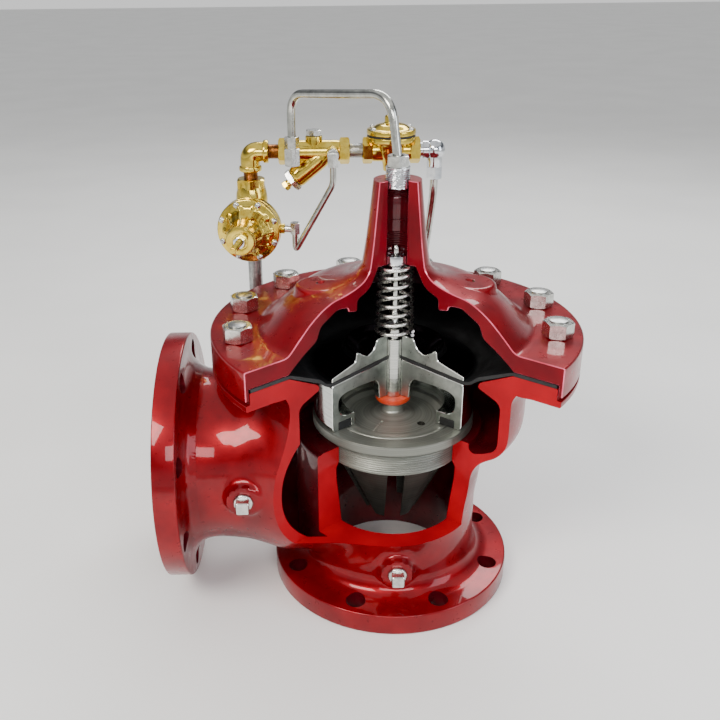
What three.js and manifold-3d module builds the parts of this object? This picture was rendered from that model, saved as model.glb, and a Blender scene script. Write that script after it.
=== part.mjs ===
// Pilot-operated, diaphragm-actuated angle valve that holds a reduced outlet pressure: a cutaway model.
// Millimetres, +Z up along the stem. The outlet flange stands on Z = 0 and the inlet flange faces -X.
// A wedge towards -Y is cut out of the castings and of the soft parts, so the working parts show.

import * as THREE from 'three';
import { mergeVertices } from 'three/addons/utils/BufferGeometryUtils.js';
import Module from 'manifold-3d';

const wasm = await Module();
wasm.setup();

// ---------- driving dimensions ----------
const GAP = 0.3;                      // clearance between pieces that touch
const CUT_HALF_ANGLE = 50.4;          // half of the wedge cut, degrees either side of -Y
const CUT_FLOOR = 90;                 // height where the wedge in the body ends

const FLANGE_R = 139.7;               // both line flanges
const FLANGE_T = 24.5;
const FLANGE_BOLT_R = 120.65;
const FLANGE_HOLE_R = 11.1;
const FLANGE_HOLES = 8;
const LINE_BORE_R = 76;               // bore at both flange faces
const INLET_FACE_X = -254;            // stem axis to inlet face
const INLET_Z = 154;                  // outlet face to inlet axis
const INLET_NECK_R = 97;              // outside of the inlet neck
const INLET_BULGE_R = 113;            // outside of the inlet passage where it meets the bowl
const INLET_WALL = 9.5;
const NECK_END = 169.5;                // stem axis to where the inlet neck begins to widen
const BULGE_START = 125;               // stem axis to where the inlet passage is at its widest
const OUTLET_NECK_R = 98;

const SEAT_LAND_Z = 197;              // face of the body that the seat ring screws down on
const SEAT_THREAD_R = 81;
const SEAT_RING_R = 91.3;
const SEAT_RING_T = 11;
const SEAT_SKIRT = 29;                // threaded skirt below the land
const SEAT_WALL = 9;
const WEB_R = 111.5;                  // outside of the wall between inlet passage and outlet bore
const BOSS_R = 101;                   // outside of the seat boss
const BOWL_R = 135;                   // inside of the bowl
const BOWL_WALL = 12;
const CLAMP_Z = 290.5;                // face of the body that carries the diaphragm
const CASE_R = 200;                   // outside of the body and cover flanges
const SPIGOT_R = 195;                 // raised body face inside the cover skirt

const DIAPHRAGM_T = 3.6;
const DIAPHRAGM_R = 193.6;
const CLAMP_INNER_R = 146;            // inner edge of the clamped ring

const COVER_FLANGE_Z = 314;           // face that the cover nuts sit on
const COVER_SKIRT_Z = 282.3;
const TOWER_TOP_Z = 470;
const TOWER_TOP_R = 24.7;
const TOWER_BORE_R = 12.8;
const SPRING_SEAT_Z = 381.4;          // shoulder in the tower that the main spring presses on
const LUG_X = 80;                     // lifting pads on the cover
const LUG_R = 28;
const LUG_Z = 359.5;

const STUD_PITCH_R = 172.7;
const STUD_R = 9.5;
const STUD_TOP_Z = 333.4;
const STUD_FOOT_Z = 275;
const STUD_STEP = 30;                 // degrees between studs
const NUT_ACROSS_FLATS = 28.6;
const NUT_H = 16.3;

const STEM_R = 10;
const STEM_THREAD_R = 6;
const GUIDE_ROD_R = 4.6;
const GUIDE_ROD_TOP_Z = 398;
const HUB_TOP_Z = 300;                // top of the diaphragm washer's hub
const CLAMP_LINE_Z = 277;             // underside of the washer at the stem
const CLAMP_RIM_Z = 268;              // underside of the washer at its rim
const WASHER_R = 89.6;
const RETAINER_R = 90;
const DISC_IN_R = 63;
const DISC_OUT_R = 80.5;
const DISC_T = 9;

const SPRING_R = 20.2;                // mean radius of the main spring at its foot
const SPRING_TOP_R = 17.4;
const SPRING_WIRE = 4;
const SPRING_COILS = 8;

const LINE_Y = 160;                   // pilot line behind the cover
const LINE_Z = 468;
const PIPE_R = 8.6;
const TUBE_R = 4.75;
const PILOT_X = -162;
const PILOT_Z = 380;
const PILOT_TURN = -8;                // degrees the pilot is swung about its pipe
const PILOT_FLANGE_R = 38;
const PILOT_SCREW_R = 4;
const AUX_X = 5;                      // auxiliary diaphragm valve
const AUX_FLANGE_R = 29;
const STRAINER_X = -86;
const STRAINER_HALF = 42;

const PLUG_R = 10.5;                  // half-inch pipe plugs in the body bosses
const PLUG_BOSS_R = 18;
const SIDE_PLUG_X = -165;
const LOW_PLUG_Z = 57;

// Facets round a full turn.
const CASTING_SIDES = 24;
const TRIM_SIDES = 16;
const ROUND_SIDES = 10;

// ---------- materials ----------
const finish = (color, roughness, metalness) => new THREE.MeshStandardMaterial(
  { color, roughness, metalness },
);
const RED_ENAMEL = finish(0xa81218, 0.25, 0.3);
const STAINLESS = finish(0xb9bcb8, 0.3, 1);
const STEEL = finish(0x9a9b98, 0.35, 1);
const BRASS = finish(0xd0a044, 0.25, 1);
const BRONZE = finish(0x8a5a32, 0.45, 1);
const BLACK_RUBBER = finish(0x17171a, 0.7, 0);
const ORANGE_SEAL = finish(0xd8481c, 0.5, 0);

// ---------- solids ----------
const DEG = Math.PI / 180;

function solidOf(geometry) {
  const bare = geometry.clone();
  bare.deleteAttribute('normal');
  bare.deleteAttribute('uv');
  const merged = mergeVertices(bare, 1e-4);
  const index = merged.index.array;
  const kept = [];
  for (let i = 0; i < index.length; i += 3) {
    const [a, b, c] = [index[i], index[i + 1], index[i + 2]];
    if (a !== b && b !== c && c !== a) kept.push(a, b, c);
  }
  const vertProperties = new Float32Array(merged.attributes.position.array);
  const make = (tris) => {
    const triVerts = Uint32Array.from(tris);
    return new wasm.Manifold(new wasm.Mesh({ numProp: 3, vertProperties, triVerts }));
  };
  const solid = make(kept);
  if (solid.volume() >= 0) return solid;
  const flipped = [];
  for (let i = 0; i < kept.length; i += 3) flipped.push(kept[i], kept[i + 2], kept[i + 1]);
  return make(flipped);
}

function meshOf(name, solid, material) {
  const { numProp, vertProperties, triVerts } = solid.getMesh();
  const position = new Float32Array((vertProperties.length / numProp) * 3);
  for (let v = 0; v * numProp < vertProperties.length; v += 1) {
    position.set(vertProperties.subarray(v * numProp, v * numProp + 3), v * 3);
  }
  const geometry = new THREE.BufferGeometry();
  geometry.setAttribute('position', new THREE.BufferAttribute(position, 3));
  geometry.setIndex(new THREE.BufferAttribute(new Uint32Array(triVerts), 1));
  geometry.computeVertexNormals();
  const mesh = new THREE.Mesh(geometry, material);
  mesh.name = name;
  return mesh;
}

const join = (first, ...rest) => rest.reduce((all, next) => all.add(next), first);
const cut = (first, ...rest) => rest.reduce((all, next) => all.subtract(next), first);

// A closed outline of [radius, height] pairs turned about Z.
function turned(outline, sides = CASTING_SIDES) {
  const onAxis = (p) => p[0] === 0;
  const points = outline.map(([r, z]) => new THREE.Vector2(r, z));
  const open = onAxis(outline[0]) && onAxis(outline[outline.length - 1]);
  if (!open) points.push(points[0].clone());
  return solidOf(new THREE.LatheGeometry(points, sides).rotateX(Math.PI / 2));
}

// A cylinder about Z from height low to height high.
const rod = (r, low, high, sides = ROUND_SIDES) => turned(
  [[0, low], [r, low], [r, high], [0, high]],
  sides,
);
const ring = (inner, outer, low, high, sides = ROUND_SIDES) => turned(
  [[inner, low], [outer, low], [outer, high], [inner, high]], sides);

function placed(solid, position, rotation = [0, 0, 0]) {
  const matrix = new THREE.Matrix4().makeRotationFromEuler(new THREE.Euler(...rotation));
  matrix.setPosition(...position);
  return solid.transform(matrix.elements);
}

const TO_X = [0, Math.PI / 2, 0];     // turns a solid about Z into one about +X
const TO_MINUS_Y = [Math.PI / 2, 0, 0]; // turns a solid about Z into one about -Y
const TO_Y = [-Math.PI / 2, 0, 0];

const ball = (r) => solidOf(new THREE.SphereGeometry(r, ROUND_SIDES, 6));

function hexPrism(acrossFlats, low, high, turn = 0) {
  return rod(acrossFlats / Math.sqrt(3), low, high, 6).rotate([0, 0, turn]);
}

function squarePrism(side, low, high) {
  return rod(side / Math.SQRT2, low, high, 4).rotate([0, 0, 45]);
}

// A path of straight runs joined by bends of one radius.
function bentPath(corners, bend) {
  const path = new THREE.CurvePath();
  const points = corners.map((c) => new THREE.Vector3(...c));
  let from = points[0];
  for (let i = 1; i < points.length - 1; i += 1) {
    const back = points[i - 1].clone().sub(points[i]).setLength(bend).add(points[i]);
    const on = points[i + 1].clone().sub(points[i]).setLength(bend).add(points[i]);
    path.add(new THREE.LineCurve3(from, back));
    path.add(new THREE.QuadraticBezierCurve3(back, points[i], on));
    from = on;
  }
  path.add(new THREE.LineCurve3(from, points[points.length - 1]));
  return path;
}

function tubeAlong(corners, bend, r, steps, sides = 8) {
  const section = new THREE.Shape();
  for (let i = 0; i < sides; i += 1) {
    const a = (i * 2 * Math.PI) / sides;
    const go = i ? 'lineTo' : 'moveTo';
    section[go](r * Math.cos(a), r * Math.sin(a));
  }
  section.closePath();
  const extrudePath = bentPath(corners, bend);
  return solidOf(new THREE.ExtrudeGeometry(section, { steps, extrudePath, bevelEnabled: false }));
}

// The wedge that is taken out towards -Y, from height low to height high.
function wedge(low, high) {
  const reach = 2 * CASE_R;
  const x = reach * Math.sin(CUT_HALF_ANGLE * DEG);
  const y = -reach * Math.cos(CUT_HALF_ANGLE * DEG);
  const plan = new THREE.Shape(
    [new THREE.Vector2(0, 0), new THREE.Vector2(-x, y), new THREE.Vector2(x, y)],
  );
  const geometry = new THREE.ExtrudeGeometry(plan, { depth: high - low, bevelEnabled: false });
  return solidOf(geometry.translate(0, 0, low));
}

const TOP = TOWER_TOP_Z + 50;
const sectioned = (solid) => cut(solid, wedge(-10, TOP));

// ---------- body ----------
const BODY_FLANGE_FOOT = CLAMP_Z - 19.5;
const SEAT_TOP_Z = SEAT_LAND_Z + SEAT_RING_T;
const INLET_INNER_R = INLET_BULGE_R - INLET_WALL;

function flangeHoles() {
  const holes = [];
  for (let i = 0; i < FLANGE_HOLES; i += 1) {
    const a = ((i + 0.5) * 2 * Math.PI) / FLANGE_HOLES;
    const hole = rod(FLANGE_HOLE_R, -5, FLANGE_T + 5);
    holes.push(placed(hole, [FLANGE_BOLT_R * Math.cos(a), FLANGE_BOLT_R * Math.sin(a), 0]));
  }
  return holes;
}

function studAngles() {
  const angles = [];
  for (let t = -3.5 * STUD_STEP; t <= 3.5 * STUD_STEP; t += STUD_STEP) angles.push(t);
  return angles;
}

function atStud(solid, angle) {
  const a = angle * DEG;
  return placed(solid, [STUD_PITCH_R * Math.sin(a), STUD_PITCH_R * Math.cos(a), 0]);
}

// Along the inlet axis: heights of this outline are distances from the inlet face.
function alongInlet(outline, sides) {
  return placed(turned(outline, sides), [INLET_FACE_X, 0, INLET_Z], TO_X);
}

function quarterEllipse(r, from, length, steps) {
  const points = [];
  for (let i = 1; i <= steps; i += 1) {
    const a = (i * Math.PI) / 2 / steps;
    points.push([i === steps ? 0 : r * Math.cos(a), from + length * Math.sin(a)]);
  }
  return points;
}

function bodyOutside() {
  const bowlOut = BOWL_R + BOWL_WALL;
  const bowl = turned([
    [0, 0], [FLANGE_R, 0], [FLANGE_R, FLANGE_T], [OUTLET_NECK_R + 16, FLANGE_T],
    [OUTLET_NECK_R + 6, FLANGE_T + 4],
    [OUTLET_NECK_R, FLANGE_T + 18], [OUTLET_NECK_R, 115], [BOSS_R, 139], [BOSS_R + 1, 154],
    [BOSS_R + 5, 164.5],
    [BOWL_R - 22, 174], [BOWL_R - 13, 182], [BOWL_R - 2, 189], [bowlOut - 6, 198], [bowlOut - 1, 208],
    [bowlOut, 220],
    [bowlOut, BODY_FLANGE_FOOT - 6], [bowlOut + 5, BODY_FLANGE_FOOT], [CASE_R, BODY_FLANGE_FOOT],
    [CASE_R, CLAMP_Z - 12.5], [SPIGOT_R, CLAMP_Z - 12.5], [SPIGOT_R, CLAMP_Z], [0, CLAMP_Z],
  ]);
  const reach = -INLET_FACE_X;
  const neck = alongInlet([
    [0, 0], [FLANGE_R, 0], [FLANGE_R, FLANGE_T], [INLET_NECK_R + 15, FLANGE_T],
    [INLET_NECK_R + 5, FLANGE_T + 5],
    [INLET_NECK_R, FLANGE_T + 20], [INLET_NECK_R + 2, reach - NECK_END],
    [INLET_BULGE_R, reach - BULGE_START],
    [INLET_BULGE_R, reach], ...quarterEllipse(INLET_BULGE_R, reach, 88, 5),
  ]);
  return join(bowl, neck);
}

function bodyInside() {
  const bowl = turned([
    [0, SEAT_LAND_Z], [BOSS_R, SEAT_LAND_Z], [BOSS_R, 190], [BOSS_R + 6, 186], [BOWL_R - 14, 191],
    [BOWL_R - 3, 198],
    [BOWL_R, 206], [BOWL_R, 250], [BOWL_R - 4, 256], [118, 261.6], [107, 266.2], [109, 272.2],
    [CLAMP_INNER_R, CLAMP_Z], [CLAMP_INNER_R, CLAMP_Z + 5], [0, CLAMP_Z + 5],
  ]);
  const outletBore = turned([
    [0, -5], [LINE_BORE_R, -5], [LINE_BORE_R, 60], [78.3, 91], [81.9, 123], [85, 147], [85.6, 163],
    [SEAT_THREAD_R + GAP, 168],
    [SEAT_THREAD_R + GAP, SEAT_LAND_Z + 5], [0, SEAT_LAND_Z + 5],
  ]);
  const reach = -INLET_FACE_X;
  const passage = alongInlet([
    [0, -5], [LINE_BORE_R, -5], [LINE_BORE_R, 30], [LINE_BORE_R + 6, 70],
    [INLET_INNER_R, reach - BULGE_START],
    [INLET_INNER_R, reach - 30], ...quarterEllipse(INLET_INNER_R, reach - 30, 80, 4),
  ]);
  const web = rod(WEB_R, -20, 188, CASTING_SIDES);
  return join(cut(passage, web), bowl, outletBore);
}

function plugBoss(face) {
  return join(
    rod(PLUG_BOSS_R, -30, face - 2),
    turned([[0, face - 3], [PLUG_BOSS_R, face - 3], [PLUG_BOSS_R - 2, face], [0, face]]),
  );
}

const SIDE_FACE = INLET_NECK_R + 11;    // outer face of the inlet neck bosses, from the inlet axis
const LOW_FACE = OUTLET_NECK_R + 12;    // outer face of the outlet neck bosses, from the stem axis

function bodyBosses() {
  const bosses = [];
  const holes = [];
  for (const side of [TO_MINUS_Y, TO_Y]) {
    const sideAxis = (s) => placed(s, [SIDE_PLUG_X, 0, INLET_Z], side);
    const lowAxis = (s) => placed(s, [0, 0, LOW_PLUG_Z], side);
    bosses.push(sideAxis(placed(plugBoss(30), [0, 0, SIDE_FACE - 30])));
    bosses.push(lowAxis(placed(plugBoss(30), [0, 0, LOW_FACE - 30])));
    holes.push(sideAxis(rod(PLUG_R + GAP, SIDE_FACE - 22, SIDE_FACE + 5)));
    holes.push(lowAxis(rod(PLUG_R + GAP, LOW_FACE - 22, LOW_FACE + 5)));
  }
  return { bosses, holes };
}

function body() {
  const inside = bodyInside();
  const { bosses, holes } = bodyBosses();
  const flange = flangeHoles();
  const inletHoles = flange.map((hole) => placed(hole, [INLET_FACE_X, 0, INLET_Z], TO_X));
  const studHoles = studAngles().map((t) => atStud(rod(STUD_R + GAP, STUD_FOOT_Z - GAP, CLAMP_Z + 5), t));
  const shell = cut(
    join(bodyOutside(), ...bosses),
    inside,
    ...holes,
    ...flange,
    ...inletHoles,
    ...studHoles,
  );
  return meshOf('body', cut(shell, wedge(CUT_FLOOR, TOP)), RED_ENAMEL);
}

// ---------- cover ----------
const COVER_CLAMP_Z = CLAMP_Z + DIAPHRAGM_T + 2 * GAP;

function coverShell() {
  const foot = COVER_FLANGE_Z;
  return turned([
    [CASE_R, COVER_SKIRT_Z], [CASE_R, foot - 2], [CASE_R - 2, foot], [145, foot], [130.4, 330], [116, 343],
    [102, 352.3], [88.4, 358.5],
    [70, 361.5], [55, 365.5], [43.7, 371], [36.5, 380], [32.3, 404.7], [28.5, 436],
    [TOWER_TOP_R, TOWER_TOP_Z - 4],
    [TOWER_TOP_R - 4, TOWER_TOP_Z], [TOWER_BORE_R, TOWER_TOP_Z], [TOWER_BORE_R, SPRING_SEAT_Z],
    [25, SPRING_SEAT_Z], [36.6, 360.3], [53.8, 352.4], [54.4, 340], [66.2, 342], [67.3, 347],
    [80.9, 348.6], [104, 335.3], [109, 321.4], [125, 311.7], [141.5, 299], [CLAMP_INNER_R, COVER_CLAMP_Z],
    [SPIGOT_R + 0.5, COVER_CLAMP_Z], [SPIGOT_R + 0.5, COVER_SKIRT_Z],
  ]);
}

function cover() {
  const lugs = [];
  const dimples = [];
  for (const side of [-1, 1]) {
    const pad = turned([[0, 340], [LUG_R + 4, 340], [LUG_R, LUG_Z - 3], [LUG_R - 3, LUG_Z], [0, LUG_Z]]);
    lugs.push(placed(pad, [side * LUG_X, 0, 0]));
    dimples.push(placed(rod(4.5, LUG_Z - 4, LUG_Z + 5), [side * LUG_X, 0, 0]));
  }
  const inside = turned([
    [0, 300], [135, 300], [125, 311.8], [109, 321.5], [104, 335.4], [81, 348.7], [67, 347], [53.8, 352.5],
    [36.6, 360.4], [25, 381], [0, 381],
  ]);
  const holes = studAngles().map((t) => atStud(rod(STUD_R + 1, 280, 340), t));
  const shell = join(coverShell(), ...lugs.map((lug) => cut(lug, inside)));
  return meshOf('cover', sectioned(cut(shell, ...dimples, ...holes)), RED_ENAMEL);
}

function coverStuds() {
  return studAngles().map((t, i) => {
    const seat = COVER_FLANGE_Z + GAP;
    const stud = turned([
      [0, STUD_FOOT_Z], [STUD_R, STUD_FOOT_Z], [STUD_R, STUD_TOP_Z - 1.5], [STUD_R - 2, STUD_TOP_Z],
      [0, STUD_TOP_Z],
    ], ROUND_SIDES);
    const nut = hexPrism(NUT_ACROSS_FLATS, seat, seat + NUT_H, 15);
    return meshOf(`cover_stud_${i + 1}`, atStud(join(stud, nut), t), STEEL);
  });
}

// ---------- seat and moving stack ----------
function seatRing() {
  const inner = SEAT_THREAD_R - SEAT_WALL;
  const outline = [
    [inner, SEAT_LAND_Z - SEAT_SKIRT], [SEAT_THREAD_R, SEAT_LAND_Z - SEAT_SKIRT],
    [SEAT_THREAD_R, SEAT_LAND_Z + GAP],
    [SEAT_RING_R, SEAT_LAND_Z + GAP], [SEAT_RING_R, SEAT_TOP_Z - 1], [SEAT_RING_R - 1, SEAT_TOP_Z],
    [inner, SEAT_TOP_Z],
  ];
  return meshOf('seat_ring', turned(outline), STAINLESS);
}

const clampLine = (r) => CLAMP_LINE_Z + ((CLAMP_RIM_Z - CLAMP_LINE_Z) * r) / WASHER_R;
const HUB_BORE_R = STEM_R + GAP;

function diaphragmWasher() {
  const outline = [
    [HUB_BORE_R, clampLine(HUB_BORE_R)], [WASHER_R, clampLine(WASHER_R)], [WASHER_R, CLAMP_RIM_Z + 4.5],
    [56.5, 282], [55, 291.5], [53, 292.6], [45.3, 287], [39, 284.2], [30.2, 288.7], [26, HUB_TOP_Z - 2],
    [24, HUB_TOP_Z], [HUB_BORE_R, HUB_TOP_Z],
  ];
  return meshOf('diaphragm_washer', sectioned(turned(outline)), STAINLESS);
}

const RETAINER_FACE_Z = SEAT_TOP_Z + GAP;
const UNDER_DIAPHRAGM = DIAPHRAGM_T + 2 * GAP;
const SEAL_TOP_Z = 227;

function discRetainer() {
  const discRoof = RETAINER_FACE_Z + DISC_T + GAP;
  const outline = [
    [HUB_BORE_R, SEAL_TOP_Z + GAP], [21, SEAL_TOP_Z + GAP], [22.3, 246], [27.2, 252], [52, 252],
    [71.7, 250.5], [80, 246.5],
    [81.3, 238], [80, 229], [73.3, 223.5], [57.7, 223.5], [57.7, RETAINER_FACE_Z],
    [DISC_IN_R - GAP, RETAINER_FACE_Z],
    [DISC_IN_R - GAP, discRoof], [DISC_OUT_R + GAP, discRoof], [DISC_OUT_R + GAP, RETAINER_FACE_Z],
    [RETAINER_R - 2, RETAINER_FACE_Z],
    [RETAINER_R, RETAINER_FACE_Z + 4], [RETAINER_R, clampLine(RETAINER_R) - UNDER_DIAPHRAGM - 2],
    [RETAINER_R - 1.5, clampLine(RETAINER_R) - UNDER_DIAPHRAGM],
    [HUB_BORE_R, clampLine(HUB_BORE_R) - UNDER_DIAPHRAGM],
  ];
  return meshOf('disc_retainer', sectioned(turned(outline)), STAINLESS);
}

function seatDisc() {
  const disc = ring(DISC_IN_R, DISC_OUT_R, RETAINER_FACE_Z, RETAINER_FACE_Z + DISC_T, CASTING_SIDES);
  return meshOf('seat_disc', sectioned(disc), BLACK_RUBBER);
}

const PLUG_HUB_TOP_Z = 219;
const PLUG_HUB_R = STEM_R + 1.5;
const CONE_TOP_Z = 166;
const CONE_FOOT_Z = 79;
const CONE_TOP_R = 70;

// A dished disc with a hub that screws on the stem, and a slotted cone below it that throttles the flow.
function throttlingPlug() {
  const disc = turned([
    [STEM_THREAD_R + GAP, 199], [50, 196], [66, CONE_TOP_Z], [25, CONE_FOOT_Z], [29, CONE_FOOT_Z],
    [CONE_TOP_R, CONE_TOP_Z],
    [CONE_TOP_R, 201], [69, 207], [56, 206], [50, 201.5], [26, 203], [STEM_R + 4, 206.5],
    [PLUG_HUB_R, 209], [PLUG_HUB_R, PLUG_HUB_TOP_Z],
    [STEM_THREAD_R + GAP, PLUG_HUB_TOP_Z],
  ]);
  const slots = [];
  for (let i = 0; i < 6; i += 1) {
    const slot = solidOf(new THREE.BoxGeometry(19, 80, 100).translate(0, -50, CONE_FOOT_Z + 37));
    slots.push(slot.rotate([0, 0, 60 * i]));
  }
  const drain = placed(rod(4.5, 190, 210), [30, -27, 0]);
  return meshOf('throttling_plug', cut(disc, ...slots, drain), STAINLESS);
}

function hubSeal() {
  const low = PLUG_HUB_TOP_Z + GAP;
  return meshOf('hub_seal', ring(HUB_BORE_R, 20, low, SEAL_TOP_Z, TRIM_SIDES), ORANGE_SEAL);
}

const NUT_FOOT_Z = HUB_TOP_Z + 9;

function stem() {
  const outline = [
    [0, 204], [STEM_THREAD_R, 204], [STEM_THREAD_R, PLUG_HUB_TOP_Z + GAP], [STEM_R, PLUG_HUB_TOP_Z + GAP],
    [STEM_R, HUB_TOP_Z - 4], [STEM_THREAD_R, HUB_TOP_Z - 4], [STEM_THREAD_R, 326], [GUIDE_ROD_R, 328],
    [GUIDE_ROD_R, GUIDE_ROD_TOP_Z], [0, GUIDE_ROD_TOP_Z + 4],
  ];
  return meshOf('stem', turned(outline, TRIM_SIDES), STAINLESS);
}

function stemHardware() {
  const bore = STEM_THREAD_R + GAP;
  const spacer = ring(bore, 9.2, HUB_TOP_Z + GAP, NUT_FOOT_Z - GAP, TRIM_SIDES);
  const nut = cut(hexPrism(19, NUT_FOOT_Z, NUT_FOOT_Z + 8), rod(bore, 290, 330, TRIM_SIDES));
  const bearing = ring(GUIDE_ROD_R + GAP, TOWER_BORE_R - GAP, SPRING_SEAT_Z - 6, SPRING_SEAT_Z + 9.5);
  return [
    meshOf('stem_spacer', spacer, STAINLESS),
    meshOf('stem_nut', nut, STAINLESS),
    meshOf('stem_bearing', bearing, BRONZE),
  ];
}

class Helix extends THREE.Curve {
  constructor(r0, r1, low, high, turns) {
    super();
    Object.assign(this, { r0, r1, low, high, turns });
  }

  getPoint(t, target = new THREE.Vector3()) {
    const a = t * this.turns * 2 * Math.PI;
    const r = this.r0 + (this.r1 - this.r0) * t;
    return target.set(r * Math.cos(a), r * Math.sin(a), this.low + (this.high - this.low) * t);
  }
}

function coil(r0, r1, wire, low, high, turns, perTurn, sides) {
  const section = new THREE.Shape();
  section.absarc(0, 0, wire / 2, 0, 2 * Math.PI);
  const path = new Helix(r0, r1, low + wire / 2, high - wire / 2, turns);
  const options = { steps: turns * perTurn, curveSegments: sides, extrudePath: path, bevelEnabled: false };
  return solidOf(new THREE.ExtrudeGeometry(section, options));
}

function mainSpring() {
  const spring = coil(
    SPRING_R,
    SPRING_TOP_R,
    SPRING_WIRE,
    HUB_TOP_Z + GAP,
    SPRING_SEAT_Z - GAP,
    SPRING_COILS,
    10,
    3,
  );
  return meshOf('main_spring', spring, STEEL);
}

function diaphragm() {
  const rim = clampLine(WASHER_R) - GAP;
  const low = CLAMP_Z + GAP;
  const outline = [
    [HUB_BORE_R, clampLine(HUB_BORE_R) - GAP - DIAPHRAGM_T], [WASHER_R, rim - DIAPHRAGM_T],
    [98, rim - DIAPHRAGM_T + 2],
    [106, 273], [CLAMP_INNER_R, low + 0.6], [CLAMP_INNER_R + 2, low], [DIAPHRAGM_R, low],
    [DIAPHRAGM_R, low + DIAPHRAGM_T],
    [CLAMP_INNER_R - 1, low + DIAPHRAGM_T], [105, 273 + DIAPHRAGM_T + 0.5], [98, rim + 2], [WASHER_R, rim],
    [HUB_BORE_R, clampLine(HUB_BORE_R) - GAP],
  ];
  const holes = studAngles().map((t) => atStud(rod(STUD_R + 1, 280, 300), t));
  return meshOf('diaphragm', sectioned(cut(turned(outline), ...holes)), BLACK_RUBBER);
}

// ---------- plugs in the body bosses ----------
function pipePlug(face, head) {
  const thread = rod(PLUG_R, face - 15, face + 1);
  return join(thread, head(face + GAP, face + 13));
}

function bodyPlugs() {
  const side = placed(
    pipePlug(SIDE_FACE, (low, high) => squarePrism(14, low, high)),
    [SIDE_PLUG_X, 0, INLET_Z],
    TO_MINUS_Y,
  );
  const low = placed(pipePlug(LOW_FACE, (a, b) => squarePrism(14, a, b)), [0, 0, LOW_PLUG_Z], TO_MINUS_Y);
  return [meshOf('inlet_neck_plug', side, STEEL), meshOf('outlet_neck_plug', low, STEEL)];
}

// ---------- pilot line ----------
const lineX = (solid, from) => placed(solid, [from, LINE_Y, LINE_Z], TO_X);
const STRAINER_LEFT = STRAINER_X - STRAINER_HALF;
const STRAINER_RIGHT = STRAINER_X + STRAINER_HALF;
const AUX_HALF = 34;
const AUX_LEFT = AUX_X - AUX_HALF;
const AUX_RIGHT = AUX_X + AUX_HALF;
const PORT_DEPTH = 9;
const HEX_ENDS = 27;

// A straight fitting body about +X with a hexagon at each end and a port in each end.
function hexEndedBody(length, middleR) {
  const ends = join(hexPrism(HEX_ENDS, 0, 12, 30), hexPrism(HEX_ENDS, length - 12, length, 30));
  return join(ends, rod(middleR, 6, length - 6));
}

// The leg's lean is in degrees from +X in the XZ plane, and its start and length in mm along the leg.
const STRAINER_LEG = { lean: 219, start: 8, length: 50 };

function alongLeg(solid) {
  const lean = (90 - STRAINER_LEG.lean) * DEG;
  return placed(solid, [STRAINER_X + 16, LINE_Y, LINE_Z], [0, lean, 0]);
}

function strainer() {
  const length = 2 * STRAINER_HALF;
  const { start, length: leg } = STRAINER_LEG;
  const shell = join(
    lineX(hexEndedBody(length, 12.5), STRAINER_LEFT),
    alongLeg(rod(13, start, leg)),
    placed(rod(10, 0, 18), [STRAINER_X, LINE_Y, LINE_Z]),
    placed(rod(8, 0, 15), [STRAINER_X + 22, LINE_Y, LINE_Z], TO_MINUS_Y),
    placed(rod(9, 0, 15), [STRAINER_X - 25, LINE_Y, LINE_Z], TO_MINUS_Y),
  );
  const bores = [
    lineX(rod(7, -1, length + 1), STRAINER_LEFT),
    lineX(rod(PIPE_R + GAP, -1, PORT_DEPTH), STRAINER_LEFT),
    lineX(rod(PIPE_R + GAP, length - PORT_DEPTH, length + 1), STRAINER_LEFT),
    alongLeg(rod(9.5, 6, leg + 1)),
    placed(rod(5 + GAP, 10, 20), [STRAINER_X, LINE_Y, LINE_Z]),
  ];
  const cap = alongLeg(join(hexPrism(25, leg + GAP, leg + 7), rod(9.2, leg - 6, leg + 1)));
  const blowdown = alongLeg(join(rod(5, leg + 7 + GAP, leg + 12), hexPrism(11, leg + 11, leg + 17)));
  const screen = alongLeg(ring(6.8, 7.8, 12, leg - 6 - GAP));
  const topPlug = placed(join(rod(5, 11, 19), hexPrism(17.5, 18 + GAP, 25)), [STRAINER_X, LINE_Y, LINE_Z]);
  return [
    meshOf('strainer_body', cut(shell, ...bores), BRASS),
    meshOf('strainer_cap', cap, STEEL),
    meshOf('strainer_blowdown_plug', blowdown, BRASS),
    meshOf('strainer_screen', screen, STAINLESS),
    meshOf('strainer_top_plug', topPlug, STEEL),
  ];
}

const ELBOW_R = 11.5;
const ELBOW_REACH = 22;

// A pipe elbow with a raised band at each mouth, from the line at +X round to the pilot below.
function lineElbow() {
  const top = [PILOT_X + ELBOW_REACH, LINE_Y, LINE_Z];
  const corner = [PILOT_X, LINE_Y, LINE_Z];
  const low = [PILOT_X, LINE_Y, LINE_Z - ELBOW_REACH];
  const shape = tubeAlong([top, corner, low], 17, ELBOW_R, 14);
  const bands = [
    placed(rod(ELBOW_R + 2, -5, 0), top, TO_X),
    placed(rod(ELBOW_R + 2, 0, 5), low),
  ];
  const bores = [
    placed(rod(PIPE_R + GAP, -PORT_DEPTH, 1), top, TO_X),
    placed(rod(PIPE_R + GAP, -1, PORT_DEPTH), low),
    tubeAlong([[top[0] + 1, top[1], top[2]], corner, [low[0], low[1], low[2] - 1]], 17, 6, 14),
  ];
  return meshOf('line_elbow', cut(join(shape, ...bands), ...bores), BRASS);
}

const PILOT_TOP = PILOT_Z + 57;
const PILOT_FOOT = PILOT_Z - 42;

function pipeNipple(length) {
  return ring(6, PIPE_R, 0, length);
}

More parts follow.
